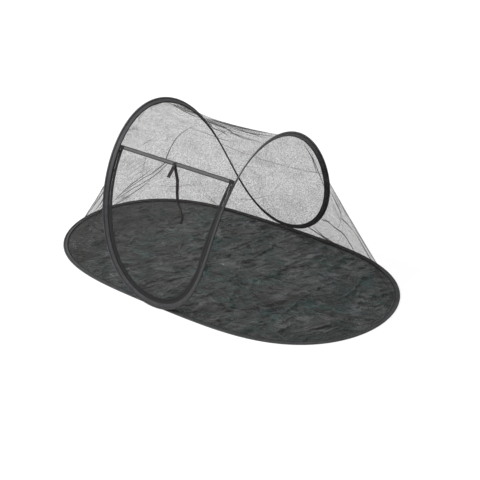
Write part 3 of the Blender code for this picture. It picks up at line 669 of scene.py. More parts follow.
# %% Creases over a grid
def creases(points, seed, count, length, width, height, turn=0.0, spread=0.5):
    """Heights of short random creases over a grid, as a crumpled cloth keeps them."""
    rng = np.random.default_rng(seed)
    flat = points.reshape(-1, 3)
    low, high = flat.min(axis=0), flat.max(axis=0)
    size = high - low
    first_axis, second_axis = np.argsort(-size)[:2]
    plane = flat[:, [first_axis, second_axis]]
    total = np.zeros(len(flat))
    for _ in range(count):
        middle = low[[first_axis, second_axis]] + rng.random(2) * size[[first_axis, second_axis]]
        angle = turn + spread * rng.standard_normal()
        along = np.array([math.cos(angle), math.sin(angle)])
        reach = length * (0.5 + rng.random())
        wide = width * (0.6 + 0.8 * rng.random())
        arm = plane - middle
        run = arm @ along
        side = arm @ np.array([-along[1], along[0]])
        near = (np.abs(run) < 1.6 * reach) & (np.abs(side) < 3 * wide)
        shape = np.exp(-((run[near] / reach) ** 2) * 2) * np.exp(-((side[near] / wide) ** 2))
        total[near] += height * (rng.random() * 1.4 - 0.4) * shape
    return total.reshape(points.shape[:2])


def normals_of(points):
    across = np.gradient(points, axis=1)
    along = np.gradient(points, axis=0)
    found = np.cross(along, across)
    return found / np.maximum(np.linalg.norm(found, axis=2, keepdims=True), 1e-9)


def spread_angles(low, high, step):
    return [float(a) for a in np.linspace(low, high, max(2, int(round((high - low) / step)) + 1))]


flat_grid = np.array([[[0.1 * i, 0.1 * j, 0.0] for j in range(3)] for i in range(3)])
print("a flat test grid faces", np.round(normals_of(flat_grid)[1, 1], 3))

# %% [markdown]
# ## Cut sizes
# A cloth is cut flat before it is sewn. The area that shows is measured on the grid itself.

# %% Declaring a cloth
def area_of(points):
    """The area of a grid of points, in square metres."""
    points = np.array(points)
    one = points[1:, :-1] - points[:-1, :-1]
    other = points[:-1, 1:] - points[:-1, :-1]
    return float(np.linalg.norm(np.cross(one, other), axis=2).sum())


def declare(made, rows, flat, closed=False):
    """Say that a piece is a cloth of this cut size. Its area is measured on the modelled rows."""
    points = np.array(rows, float)
    if closed:
        points = np.concatenate([points, points[:1]])
    area = min(area_of(points), flat[0] * flat[1])
    cut = f"cut {flat[0]:.3f} x {flat[1]:.3f} m, area {area:.4f} m2"
    print(f"{made.name}: {len(made.data.vertices)} points, {cut}")


print("the test grid's area is", round(area_of(flat_grid), 3), "m2")

# %% [markdown]
# ## Stitches and other small shapes
# Stitches and zip teeth are one small shape many times over, so one mesh holds a whole row of them. A
# section is carried along a short line and scaled at a few stations, which rounds the ends. A stitch
# is such a dash laid along its seam, thinner at both ends, where the thread goes down into the cloth.

# %% Small shapes in rows
def shapes(name, frames, profile, stations, finish, body="tent"):
    """Many small alike shapes as one mesh: each frame is a place and three axes, which carry the
    profile's points (second and third axis) at each station (first axis, with a scale)."""
    corners, faces = [], []
    width = len(profile)
    for place, run, side, up in frames:
        start = len(corners)
        for reach, scale in stations:
            for a, b in profile:
                corners.append(place + reach * run + scale * (a * side + b * up))
        for k in range(len(stations) - 1):
            for j in range(width):
                one = start + k * width
                after = (j + 1) % width
                faces.append((one + j, one + after, one + width + after, one + width + j))
        faces.append(tuple(range(start + width - 1, start - 1, -1)))
        faces.append(tuple(range(start + (len(stations) - 1) * width, start + len(stations) * width)))
    places = np.array(corners)
    distances = places[:, 0], places[:, 1] + places[:, 2]
    return add_piece(name, corners, faces, distances, finish, body, even=False)


STITCH_PITCH = 4.2 * MM
STITCH_SHARE = 0.68


def stitches(name, path, ups, finish, pitch=STITCH_PITCH, thick=0.55 * MM):
    """Dashes of thread along a line of points, each dipping into the cloth at its ends. The cloth
    faces one direction all along, or one at each point."""
    path = np.array(path, float)
    ups = np.broadcast_to(ups, path.shape)
    steps = walked(path)
    frames = []
    for k in range(int(steps[-1] / pitch)):
        at = (k + 0.5) * pitch
        run = unit(between(at + 0.3 * pitch, steps, path) - between(at - 0.3 * pitch, steps, path))
        up = between(at, steps, ups)
        up = unit(up - up.dot(run) * run)
        frames.append((between(at, steps, path), run, np.cross(up, run), up))
    half = pitch * STITCH_SHARE / 2
    low, high = -0.5 * thick, 0.35 * thick
    profile = [(-0.5 * thick, low), (0.5 * thick, low), (0.45 * thick, high), (-0.45 * thick, high)]
    stations = [(-half, 0.35), (-0.6 * half, 0.95), (0.6 * half, 0.95), (half, 0.35)]
    return shapes(name, frames, profile, stations, finish)


stitch_shows = round(STITCH_PITCH * STITCH_SHARE / MM, 1)
print("a seam shows", stitch_shows, "mm of thread in every", round(STITCH_PITCH / MM, 1), "mm")

# %% [markdown]
# ## The sleeve of the hoop
# A strip of binding is folded round the wire, and both its edges reach down and hold the netting
# between them. The section is a letter C with long legs, carried round the hoop on the frames from
# above. A real band puckers a little where it is sewn round a bend, so the legs get a small wave. Two
# lines of stitches on each side hold it shut: one near the free edges and one close to the wire.

# %% Sleeve of the hoop
def fold(middle, low, high, steps=13):
    turns = [math.radians(t) for t in np.linspace(low, high, steps)]
    return [(middle[0] + TUBE * math.cos(t), middle[1] + TUBE * math.sin(t)) for t in turns]


def pucker(degrees, share):
    """A small uneven wave for the free edges, in metres."""
    t = math.radians(degrees)
    wave = math.sin(97 * t + 1.3 * math.sin(7 * t)) + 0.6 * math.sin(173 * t + 2.0)
    return 0.16 * MM * share * wave


FOLD_START = math.degrees(math.asin(LEG / TUBE))
WIDE_LIP = LIP + 4.5 * MM
SLEEVE_SECTION = [(WIDE_LIP, LEG), (LIP - 3 * MM, LEG), (LIP - 11 * MM, LEG)]
SLEEVE_SECTION += fold((WIRE_AT, 0.0), FOLD_START, 360.0 - FOLD_START)
SLEEVE_SECTION += [(u, -v) for u, v in reversed(SLEEVE_SECTION[:3])]


def sleeve_row(degrees):
    row = []
    for u, v in SLEEVE_SECTION:
        share = max(0.0, u / WIDE_LIP)
        open_by = abs(pucker(degrees, share))
        row.append(in_sleeve(degrees, u + pucker(degrees + 31.0, share), v + math.copysign(open_by, v)))
    return row


ROUND_STEPS = 460
ALL_ROUND = [360.0 * k / ROUND_STEPS for k in range(ROUND_STEPS)]
sleeve_rows = [sleeve_row(angle) for angle in ALL_ROUND]
sleeve = cloth("hoop_sleeve_band", sleeve_rows, CLOTH, SLEEVE_CLOTH, closed=True)
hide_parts("hoop_sleeve")


def sleeve_seam(name, u, side):
    """A line of stitching round the sleeve, on the end nets' side (1) or the roof's side (-1)."""
    path, ups = [], []
    for degrees in ALL_ROUND + ALL_ROUND[:1]:
        path.append(in_sleeve(degrees, u, side * (LEG + CLOTH / 2 + 0.1 * MM)))
        ups.append(side * sleeve_frame(degrees)[2])
    return stitches(name, path, ups, THREAD)


EDGE_SEAM, WIRE_SEAM = WIDE_LIP - 2.5 * MM, -1.0 * MM
seams = [
    sleeve_seam(f"sleeve_seam_{number}", u, side)
    for number, (u, side) in enumerate(((EDGE_SEAM, 1), (EDGE_SEAM, -1), (WIRE_SEAM, 1), (WIRE_SEAM, -1)))
]
declare(sleeve, sleeve_rows, (0.057, 4.6), closed=True)

# %% [markdown]
# ## The hem of the groundsheet
# The same binding lies flat round the floor ring, with its open side inwards. Its top leg is the wider
# grey band that shows round the floor, and one line of stitching near its edge holds the end nets, the
# groundsheet and both legs together.

# %% Hem of the groundsheet
HEM_BOTTOM = CLOTH / 2
HEM_TOP = HEM_BOTTOM + 2 * LEG
TUBE_OUT = TUBE + CLOTH / 2
hem_start = math.degrees(math.asin((HEM_TOP - TUBE_OUT) / TUBE))
hem_insets = (BAND, BAND - 5 * MM, BAND - 11 * MM)
HEM_SECTION = [(inset, HEM_TOP) for inset in hem_insets]
HEM_SECTION += fold((TUBE_OUT, TUBE_OUT), hem_start, 270.0)
HEM_SECTION += [(inset, HEM_BOTTOM) for inset in reversed(hem_insets)]


def hem_row(degrees):
    row = []
    for w, h in HEM_SECTION:
        share = max(0.0, w / BAND - 0.4) if h > HEM_BOTTOM else 0.0
        row.append(in_hem(degrees, w + pucker(degrees + 57.0, share), h + abs(pucker(degrees, share))))
    return row


hem_rows = [hem_row(angle) for angle in ALL_ROUND]
hem = cloth("floor_hem_band", hem_rows, CLOTH, HEM_CLOTH, closed=True)
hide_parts("floor_hem")
up = np.array([0.0, 0.0, 1.0])
seams = []
for number, inset in enumerate((BAND - 2.8 * MM, BAND - 12 * MM)):
    path = [in_hem(degrees, inset, HEM_TOP + CLOTH / 2 + 0.2 * MM) for degrees in ALL_ROUND + ALL_ROUND[:1]]
    seams.append(stitches(f"hem_seam_{number}", path, up, THREAD))
declare(hem, hem_rows, (0.052, 4.6), closed=True)

# %% [markdown]
# ## The groundsheet
# It is cut a little larger than its ring, so it never lies quite flat: it keeps the creases of being
# folded, in two directions and a few lengths. The edge is held in the hem. The middle is built as rings
# shrinking towards the centre, and the creases lift it by up to 20 mm, never below the ground.

# %% Groundsheet
SHEET_STEPS, SHEET_RINGS = 560, 146
around = [360.0 * k / SHEET_STEPS for k in range(SHEET_STEPS)]
edge = np.array([in_hem(angle, BAND + 3 * MM, 0.0) for angle in around])
shares = np.linspace(1.0, 0.004, SHEET_RINGS)
middle = np.array([[point * share for share in shares] for point in edge])
FLOOR_CREASES = [  # seed, how many, length, width, height, angle and its spread
    (11, 820, 0.075, 0.0070, 5.0 * MM, 1.0, 0.40),
    (12, 260, 0.15, 0.0095, 7.0 * MM, 0.8, 0.5),
    (13, 60, 0.26, 0.018, 9.0 * MM, 0.2, 0.4),
    (14, 300, 0.060, 0.0070, 4.5 * MM, 0.1, 0.5),
]
lift = sum(creases(middle, *kind) for kind in FLOOR_CREASES)
lift = np.maximum(lift, -0.3 * MM) * np.clip((1.0 - shares) / 0.05, 0.0, 1.0)[None, :]
middle[:, :, 2] = 0.9 * MM + lift
rim = np.array([[in_hem(angle, w, HEM_SHEET) for w in (BAND - TUCK, BAND + 1.5 * MM)] for angle in around])
floor_rows = np.concatenate([rim, middle], axis=1)
groundsheet = cloth(
    "groundsheet_cloth", floor_rows, 0.35 * MM, GROUNDSHEET, closed=True,
    measure=lambda points: (points[:, :, 0], points[:, :, 1]),
)
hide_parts("floor_sheet")
declare(groundsheet, floor_rows, (0.88, 1.74), closed=True)
print("highest crease", round(float(lift.max()) * 1000, 1), "mm")

# %% [markdown]
# ## The end nets
# Each end is one piece of netting between the hoop's sleeve and the hem. Near the feet it hangs in a
# little, and where it is longest its stiffness bows it out. Its slack gathers into a few soft folds,
# lifted along the cloth's own normal, which fade out at both seams. The left one has more slack on the
# far side of the door and is drawn in there.

# %% Rows of an end net
END_SAG, END_BOW = 0.045, 0.02
INSIDE = np.array([0.0, 0.0, 0.25])


def end_row(degrees, columns=44):
    top = in_sleeve(degrees, MOUTH, LAYER)
    low = in_hem(degrees, BAND + TURN, HEM_NET)
    run = low - top
    level = unit(direction(hoop_point, degrees) + direction(ring_point, degrees))
    inward = unit(np.cross(level, run))
    reach = np.linalg.norm(run) / (FLOOR_LENGTH / 2)
    row = [in_sleeve(degrees, LIP - TUCK, LAYER)]
    for share in np.linspace(0.0, 1.0, columns + 1):
        arc = 4 * share * (1 - share)
        hang = arc * END_SAG * reach * (1 - reach**2) - arc**2 * END_BOW * reach**5
        row.append(top + share * run + hang * inward)
    return row + [in_hem(degrees, BAND - TUCK, HEM_NET)]


def folded(rows, seed, count, length, width, height, turn, spread):
    """Rows lifted along their normals by soft folds, which fade out towards the first and last column."""
    points = np.array(rows)
    inner = points[:, 1:-1]
    columns = np.linspace(0.0, 1.0, inner.shape[1])
    ends = np.linspace(0.0, 1.0, inner.shape[0])
    fade = np.clip(np.sin(math.pi * columns) * 2.2, 0.0, 1.0)[None, :]
    fade = fade * np.clip(np.sin(math.pi * ends) * 6.0, 0.0, 1.0)[:, None]
    lift = creases(inner, seed, count, length, width, height, turn, spread)
    points[:, 1:-1] = inner + (fade * lift)[:, :, None] * normals_of(inner)
    return points


def drawn_in(rows, at, reach, depth):
    """Rows drawn towards the inside round one row, most in the middle between sleeve and hem."""
    points = np.array(rows)
    places = np.linspace(0.0, 1.0, len(points))
    share = np.linspace(0.0, 1.0, points.shape[1])
    pull = np.exp(-(((places - at) / reach) ** 2))[:, None] * (4 * share * (1 - share))[None, :]
    towards = INSIDE - points
    towards /= np.linalg.norm(towards, axis=2)[:, :, None]
    return points + (depth * pull)[:, :, None] * towards


FOOT_SLIT = solve(lambda t: hoop_point(FRONT + t)[0], 4.6 * MM, 0.0, 20.0)
end_angles = spread_angles(FRONT + FOOT_SLIT, BACK - FOOT_SLIT, 1.0)
print("an end net runs over", round(end_angles[-1] - end_angles[0], 1), "degrees of the hoop")

# %% [markdown]
# ## Lines on a net
# Folds that show are drawn where they are on the real cloth. A fold is a few points given as shares of
# the net's rows and columns, so it stays on the net whatever its shape. The line through them is
# rounded off and then looked up on the grid, which also gives the net's normal there.

# %% Lines on a net
def smooth(points, count, rounds=6):
    """Points along a line through a few given ones, with the corners rounded off."""
    points = np.array(points, float)
    at = np.linspace(0, len(points) - 1, count)
    line = between(at, range(len(points)), points)
    for _ in range(rounds):
        line[1:-1] = (line[:-2] + 2 * line[1:-1] + line[2:]) / 4
    return line


def on_net(rows, line):
    """Places and normals on a net, for a line given as shares of its rows and columns."""
    points = np.array(rows)
    normals = normals_of(points)
    at = line * (np.array(points.shape[:2]) - 1)
    low = np.minimum(at.astype(int), np.array(points.shape[:2]) - 2)
    part = (at - low)[:, :, None]
    found = []
    for grid in (points, normals):
        corner = [[grid[low[:, 0] + i, low[:, 1] + j] for j in (0, 1)] for i in (0, 1)]
        one, other = (corner[i][0] + part[:, 1] * (corner[i][1] - corner[i][0]) for i in (0, 1))
        found.append(one + part[:, 0] * (other - one))
    return found


def random_lines(seed, count, length, slant):
    """Long faint lines over a net, each as shares of its rows and columns."""
    rng = np.random.default_rng(seed)
    lines = []
    for _ in range(count):
        angle = slant + 0.25 * rng.standard_normal()
        step = length * (0.5 + rng.random()) / 4 * np.array([math.cos(angle), math.sin(angle)])
        here = 0.06 + 0.88 * rng.random(2)
        line = [here + k * step + 0.006 * rng.standard_normal(2) for k in range(5)]
        lines.append(np.clip(line, 0.02, 0.97))
    return lines


halfway_line = smooth([(0.5, 0.5), (1.0, 0.5)], 3)
print("the test grid's middle line:", np.round(on_net(flat_grid, halfway_line)[0], 2).tolist())

# %% [markdown]
# ## Pleats
# Where a net is pinched double it shows as a dark line, because its threads lie over each other. Each
# pleat is a narrow ridge that stands on the net and runs out at both ends. It gets the denser netting,
# and the fainter creases a thinner one.

# %% Pleats on a net
PLEAT_SECTION = ((-1.0, 0.1), (0.25, 1.1), (1.0, 0.1))


def pleats(name, rows, lines, wide, out=1.0, finish=PLEAT_NET):
    """Ridges along lines on a net. They stand out by the sign given, which is the side that shows."""
    corners, faces, distances = [], [], []
    for line in lines:
        count = max(12, int(90 * np.linalg.norm(np.diff(np.array(line), axis=0), axis=1).sum()))
        places, normals = on_net(rows, smooth(line, count))
        start = len(corners)
        runs = np.gradient(places, axis=0)
        length = 0.0
        for k, (place, normal, run) in enumerate(zip(places, normals, runs)):
            share = max(math.sin(math.pi * k / (count - 1)), 0.0) ** 0.6
            side = unit(np.cross(normal, run))
            length += float(np.linalg.norm(run))
            for step, level in PLEAT_SECTION:
                shape = step * side + out * level * normal
                corners.append(place + share * wide * shape + 0.2 * MM * out * normal)
                distances.append((step * wide, length))
        for one in range(start, start + 3 * (count - 1)):
            if (one - start) % 3 < 2:
                faces.append((one, one + 3, one + 4, one + 1))
    return add_piece(name, corners, faces, np.transpose(distances), finish, "tent")


print("a pleat's ridge is", PLEAT_SECTION[1][1] / 2, "as high as the pleat is wide")

# %% [markdown]
# ## The right end net
# It is nearly smooth. A few pleats start where the net is sewn round the arch and run down towards the
# hem, and some long faint creases lie between them.

# %% Right end net
END_CUT = (0.95, 1.30)
end_rows = folded([end_row(angle) for angle in end_angles], 21, 46, 0.16, 0.010, 3.2 * MM, 1.1, 0.5)
right_net = cloth("end_net_right", end_rows, 0.0, END_NET)
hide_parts("end_panel_right")
right_lines = [
    [(0.62, 0.087), (0.603, 0.174), (0.587, 0.239), (0.57, 0.326)],
    [(0.603, 0.043), (0.609, 0.13), (0.575, 0.239)],
    [(0.592, 0.33), (0.587, 0.391), (0.581, 0.435), (0.575, 0.48)],
    [(0.505, 0.44), (0.514, 0.478), (0.525, 0.522), (0.536, 0.543), (0.542, 0.587), (0.542, 0.72)],
    [(0.559, 0.478), (0.57, 0.50), (0.581, 0.522), (0.592, 0.58)],
    [(0.50, 0.44), (0.503, 0.457), (0.52, 0.478)],
    [(0.45, 0.40), (0.458, 0.435), (0.469, 0.478), (0.48, 0.522), (0.492, 0.565), (0.505, 0.64)],
    [(0.47, 0.45), (0.475, 0.478), (0.48, 0.522), (0.497, 0.565), (0.51, 0.62)],
    [(0.592, 0.56), (0.60, 0.63), (0.60, 0.70), (0.61, 0.84)],
    [(0.64, 0.24), (0.64, 0.40), (0.64, 0.60), (0.65, 0.84)],
]
right_folds = pleats("end_net_right_pleats", end_rows, right_lines, wide=2.5 * MM)
faint = random_lines(61, 26, 0.34, 1.35)
right_creases = pleats("end_net_right_creases", end_rows, faint, wide=1.7 * MM, finish=CREASE_NET)
declare(right_net, end_rows, END_CUT)

# %% [markdown]
# ## The left end net
# This one is seen through the door. More of its slack has gathered, in a bundle of pleats that runs
# from the middle of the arch to the hem, and a short curved seam near its top shows as a pale thread.

# %% Left end net
left_rows = flip([end_row(angle) for angle in end_angles])
left_rows = folded(left_rows, 22, 46, 0.16, 0.010, 3.2 * MM, 1.9, 0.5)
left_rows = drawn_in(left_rows, 0.41, 0.15, 38 * MM)
left_net = cloth("end_net_left", left_rows, 0.0, END_NET)
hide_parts("end_panel_left")
left_lines = [
    [(0.659, 0.087), (0.642, 0.152), (0.626, 0.261), (0.626, 0.37), (0.631, 0.478), (0.637, 0.522),
     (0.62, 0.652), (0.603, 0.696), (0.587, 0.761), (0.575, 0.804), (0.553, 0.87)],
    [(0.65, 0.46), (0.642, 0.543), (0.637, 0.609), (0.631, 0.652), (0.62, 0.717), (0.598, 0.783),
     (0.581, 0.826), (0.564, 0.87), (0.553, 0.891)],
    [(0.626, 0.696), (0.615, 0.783), (0.603, 0.848), (0.581, 0.891), (0.559, 0.913)],
    [(0.612, 0.60), (0.60, 0.67), (0.585, 0.73), (0.57, 0.79), (0.555, 0.86), (0.545, 0.93)],
    [(0.60, 0.87), (0.58, 0.91), (0.56, 0.94), (0.54, 0.96)],
    [(0.346, 0.217), (0.346, 0.348), (0.341, 0.478), (0.35, 0.62)],
    [(0.324, 0.20), (0.324, 0.326), (0.318, 0.391), (0.33, 0.52)],
    [(0.40, 0.25), (0.41, 0.42), (0.42, 0.60), (0.43, 0.78), (0.43, 0.95)],
    [(0.37, 0.22), (0.375, 0.35), (0.38, 0.50), (0.39, 0.66), (0.40, 0.84)],
    [(0.30, 0.24), (0.307, 0.37), (0.313, 0.435), (0.32, 0.62)],
]
left_faint = [
    [(0.648, 0.761), (0.687, 0.761), (0.715, 0.717), (0.754, 0.609), (0.788, 0.435)],
    [(0.66, 0.74), (0.70, 0.73), (0.73, 0.66), (0.76, 0.56)],
    [(0.575, 0.304), (0.559, 0.348), (0.536, 0.37), (0.508, 0.413)],
    [(0.59, 0.50), (0.564, 0.522), (0.547, 0.522), (0.525, 0.565)],
    [(0.58, 0.52), (0.564, 0.543), (0.553, 0.587), (0.531, 0.609)],
    [(0.61, 0.56), (0.59, 0.62), (0.57, 0.68), (0.55, 0.75)],
    [(0.60, 0.46), (0.58, 0.56), (0.56, 0.64), (0.54, 0.70)],
]
left_folds = pleats("end_net_left_pleats", left_rows, left_lines, wide=2.7 * MM, out=-1.0)
faint = left_faint + random_lines(72, 12, 0.34, 1.35)
left_creases = pleats(
    "end_net_left_creases", left_rows, faint, wide=1.7 * MM, out=-1.0, finish=CREASE_NET
)
seam_line = [
    (0.458, 0.065), (0.531, 0.196), (0.581, 0.217), (0.62, 0.196),
    (0.665, 0.174), (0.704, 0.087), (0.72, 0.03),
]
seam_places, seam_normals = on_net(left_rows, smooth(seam_line, 120, 20))
end_seam = stitches("end_net_seam", seam_places, -seam_normals, SEAM_THREAD, thick=0.8 * MM)
declare(left_net, left_rows, END_CUT)

# %% [markdown]
# ## The roof net
# The roof net runs from the header over the top and down to a seam at the back. It hangs from the two
# sides of the saddle, so it sags across and stays straight at the header. Its pleats fan out from the
# far side of the left arch, and fainter creases run beside them.

# %% Roof net
ROOF_SAG = 0.028


def saddle_up(degrees):
    run = in_sleeve(degrees + 1.0, MOUTH, -LAYER) - in_sleeve(degrees - 1.0, MOUTH, -LAYER)
    return unit(np.array([0.0, -run[2], run[1]]))


def saddle_row(degrees, rise=0.0, columns=56):
    edge_point = in_sleeve(degrees, MOUTH, -LAYER)
    width = edge_point[0] / (ARCH_SPACING / 2)
    share = min(max((degrees - ROOF_EDGE_AT) / 30.0, 0.0), 1.0)
    sag = ROOF_SAG * width * width * share * (2 - share)
    row = [in_sleeve(degrees, LIP - TUCK, -LAYER)]
    for across in np.linspace(1.0, -1.0, columns + 1):
        flat_point = np.array([across * edge_point[0], edge_point[1], edge_point[2]])
        row.append(flat_point + (rise - sag * (1 - across * across)) * saddle_up(degrees))
    return row + [flip(row[0])]


per_degree = float(np.linalg.norm(hoop_point(SEAM_AT + 0.5) - hoop_point(SEAM_AT - 0.5)))
roof_angles = spread_angles(ROOF_EDGE_AT, SEAM_AT - 0.15 * MM / per_degree, 0.9)
roof_rows = folded([saddle_row(angle) for angle in roof_angles], 31, 30, 0.13, 0.010, 2.6 * MM, 0.2, 0.7)
roof_net = cloth("roof_net", roof_rows, 0.0, ROOF_NET)
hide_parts("roof_panel")
roof_lines = [
    [(0.41, 0.64), (0.43, 0.60), (0.417, 0.517), (0.403, 0.431), (0.361, 0.328)],
    [(0.458, 0.621), (0.40, 0.55), (0.347, 0.483), (0.333, 0.397), (0.292, 0.31)],
    [(0.44, 0.50), (0.417, 0.448), (0.347, 0.328), (0.319, 0.241), (0.306, 0.19), (0.306, 0.121)],
    [(0.45, 0.42), (0.431, 0.345), (0.403, 0.259), (0.403, 0.207), (0.403, 0.138), (0.417, 0.069)],
    [(0.46, 0.64), (0.485, 0.60), (0.486, 0.55), (0.485, 0.45), (0.49, 0.33), (0.49, 0.22), (0.486, 0.12)],
    [(0.50, 0.64), (0.52, 0.56), (0.53, 0.45), (0.54, 0.33), (0.54, 0.20)],
    [(0.458, 0.983), (0.486, 0.914), (0.486, 0.828), (0.50, 0.76), (0.50, 0.69)],
    [(0.486, 0.948), (0.458, 0.845), (0.444, 0.741), (0.431, 0.69)],
    [(0.514, 0.931), (0.542, 0.845), (0.53, 0.77), (0.52, 0.70)],
]
roof_folds = pleats("roof_net_pleats", roof_rows, roof_lines, wide=2.4 * MM)
roof_faint = [
    [(0.42 + 0.02 * k, 0.66), (0.41 + 0.022 * k, 0.55), (0.39 + 0.026 * k, 0.42), (0.37 + 0.03 * k, 0.28),
     (0.36 + 0.032 * k, 0.14)]
    for k in range(6)
]
roof_faint += [
    [(0.44 + 0.022 * k, 0.97), (0.46 + 0.022 * k, 0.88), (0.47 + 0.018 * k, 0.79), (0.47 + 0.012 * k, 0.71)]
    for k in range(5)
]
roof_faint += random_lines(73, 12, 0.30, 1.3)
roof_creases = pleats("roof_net_creases", roof_rows, roof_faint, wide=2.6 * MM, finish=CREASE_NET)
declare(roof_net, roof_rows, (0.76, 0.72))

# %% [markdown]
# ## The back net and its seam
# A second net fills the back, from the seam down to the hoop's foot. The two are joined by a narrow
# folded seam, which is a strip of the same netting, sewn twice with a paler, slightly pink thread.

# %% Back net and seam
back_angles = spread_angles(SEAM_AT + 0.15 * MM / per_degree, BACK - 2 * FOOT_SLIT, 0.9)
back_rows = folded([saddle_row(angle) for angle in back_angles], 32, 16, 0.10, 0.010, 2.4 * MM, 1.2, 0.5)
back_net = cloth("back_net", back_rows, 0.0, ROOF_NET)
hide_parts("rear_panel")
faint = random_lines(64, 10, 0.4, 0.9)
back_folds = pleats("back_net_creases", back_rows, faint, wide=1.7 * MM, finish=CREASE_NET)
declare(back_net, back_rows, (0.72, 0.44))

reach = 4.5 * MM / per_degree
seam_levels = [(-1.0, 0.9 * MM), (-0.6, 1.2 * MM), (0.0, 1.3 * MM), (0.6, 1.2 * MM), (1.0, 0.9 * MM)]
seam_rows = [saddle_row(SEAM_AT + share * reach, level)[1:-1] for share, level in seam_levels]
seam_rows = np.transpose(seam_rows, (1, 0, 2))
seam_tape = cloth("back_seam_tape", seam_rows, 0.5 * MM, SEAM_CLOTH)
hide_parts("rear_seam_tape")
seam_up = saddle_up(SEAM_AT)
for number, turn in enumerate((-0.6 * reach, 0.6 * reach)):
    path = saddle_row(SEAM_AT + turn, 1.6 * MM)[1:-1]
    stitches(f"back_seam_thread_{number}", path, seam_up, SEAM_THREAD, thick=0.7 * MM)
declare(seam_tape, seam_rows, (0.0105, 0.74))

# %% [markdown]
# ## The front net
# Under the header the front is one net with a U-shaped cut, closed by the zip. The cut-out flap is the door.
# It has no hinge of its own: the cloth simply folds along a line under the header, so here the net is one
# piece from the header to the foot. Its rows lie closer together round the fold.

# %% Front net
OUTER_EDGE = 3.5 * MM
TAPE_END = OUTER_EDGE + 12 * MM
FLAT_EDGE = TAPE_END + 5 * MM
NET_EDGE = OUTER_EDGE + 6 * MM
NET_LEVEL = -1.0 * MM
FOOT_ROUND = 0.8


def front_row(degrees, columns=56):
    here = zip_frame(degrees)
    inner = off(here, FLAT_EDGE, 0.0)
    row = [off(here, NET_EDGE, NET_LEVEL), off(here, TAPE_END + 1 * MM, NET_LEVEL)]
    row += [inner * np.array([across, 1.0, 1.0]) for across in np.linspace(1.0, -1.0, columns + 1)]
    return row + [flip(row[1]), flip(row[0])]


hinge = off(zip_frame(HINGE_AT), FLAT_EDGE, 0.0)
down_point = off(zip_frame(HINGE_AT - 3.0), FLAT_EDGE, 0.0)
down = unit(np.array([0.0, down_point[1] - hinge[1], down_point[2] - hinge[2]]))
hinge_middle = np.array([0.0, hinge[1], hinge[2]])


def bends(made, reach=9 * MM):
    """Bake a cloth's place into its points."""
    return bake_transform(made, "tent", "door", hinge_middle - reach * down, hinge_middle + reach * down)


front_angles = spread_angles(FRONT + FOOT_ROUND, HINGE_AT - 2.2, 0.9)
front_angles += spread_angles(HINGE_AT - 2.0, HINGE_AT + 2.0, 0.18)
front_angles += spread_angles(HINGE_AT + 2.4, STRIP_TOP_AT, 0.6)
front_rows = folded([front_row(angle) for angle in front_angles], 41, 26, 0.12, 0.008, 1.6 * MM, 0.3, 0.9)
front_net = cloth("front_net", front_rows, 0.0, DOOR_NET, body=None)
bends(front_net)
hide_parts("door_panel", "front_strip")
declare(front_net, front_rows, (0.64, 0.66))
print("fold line at", np.round(hinge_middle, 3), "going down along", np.round(down, 2))

# %% [markdown]
# ## Zip tapes
# A zip is two tapes with a row of teeth on each. The outer tape is sewn to the sleeve and stays still.
# The inner one edges the net. Both run round the U in one piece, from the top of the right leg under the
# door to the top of the left one.

# %% Zip tapes
def round_the_u(row, high):
    """Rows from the top of the right leg, round the foot, to the top of the left leg."""
    fold_zone = {HINGE_AT + turn for turn in np.linspace(-1.5, 1.5, 17)}
    right = [row(angle) for angle in sorted(fold_zone | set(spread_angles(FRONT, high, 0.7)))]
    return right[::-1] + list(flip(right[1:]))


def inner_tape_row(degrees):
    here = zip_frame(degrees)
    return [off(here, OUTER_EDGE + share * 12 * MM, 0.0) for share in (0.0, 0.25, 0.5, 0.75, 1.0)]


def outer_tape_row(degrees):
    here = zip_frame(degrees)
    start = in_sleeve(degrees, LIP - TUCK, -LAYER)
    turn = door_edge(degrees)
    flat_start = off(here, -OUTER_EDGE - 2.6 * MM, 0.0)
    before, after = 0.4 * start + 0.6 * turn, 0.5 * (turn + flat_start)
    return [start, before, turn, after, flat_start, off(here, -OUTER_EDGE, 0.0)]


inner_rows = round_the_u(inner_tape_row, ZIP_TOP_AT)
inner_tape = cloth("zip_tape_inner", inner_rows, 0.7 * MM, ZIP_CLOTH, body=None)
bends(inner_tape)
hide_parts("zip_door_tape", "strip_tape_left", "strip_tape_right")
declare(inner_tape, inner_rows, (0.0122, 1.66))
outer_rows = round_the_u(outer_tape_row, ZIP_TOP_AT)
outer_tape = cloth("zip_tape_outer", outer_rows, 0.7 * MM, ZIP_CLOTH)
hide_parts("zip_outer_tape")
declare(outer_tape, outer_rows, (0.026, 1.72))

# %% [markdown]
# ## Zip teeth
# A nylon coil zip shows as two rows of small rounded bars that reach past each other in turn. Each bar
# is modelled, with its head thickened as the real coil's is. The bars of the door's row ride on the
# door, and those of the strip above the fold stay with the tent. A slider has a divider in its middle
# that keeps the rows apart, so the bars are shorter wherever a slider comes past.

# %% Zip teeth
TOOTH_PITCH = 1.7 * MM
COIL_END = -(HEADER_HALF + 0.3 * MM) - 3.8 * MM
SLIDER_AT = COIL_END - 5.5 * MM
SLIDER_TRAVEL = LEG_RADIUS * math.radians(23)
SLIDER_REACH = 7 * MM
PARTED, TOOTH_END, OVERLAP = 0.65 * MM, 3.2 * MM, -0.9 * MM


def on_slider_run(place):
    """Whether a slider's divider comes past here."""
    beyond = above_header(place) - SLIDER_AT
    return -SLIDER_TRAVEL - SLIDER_REACH < beyond < SLIDER_REACH


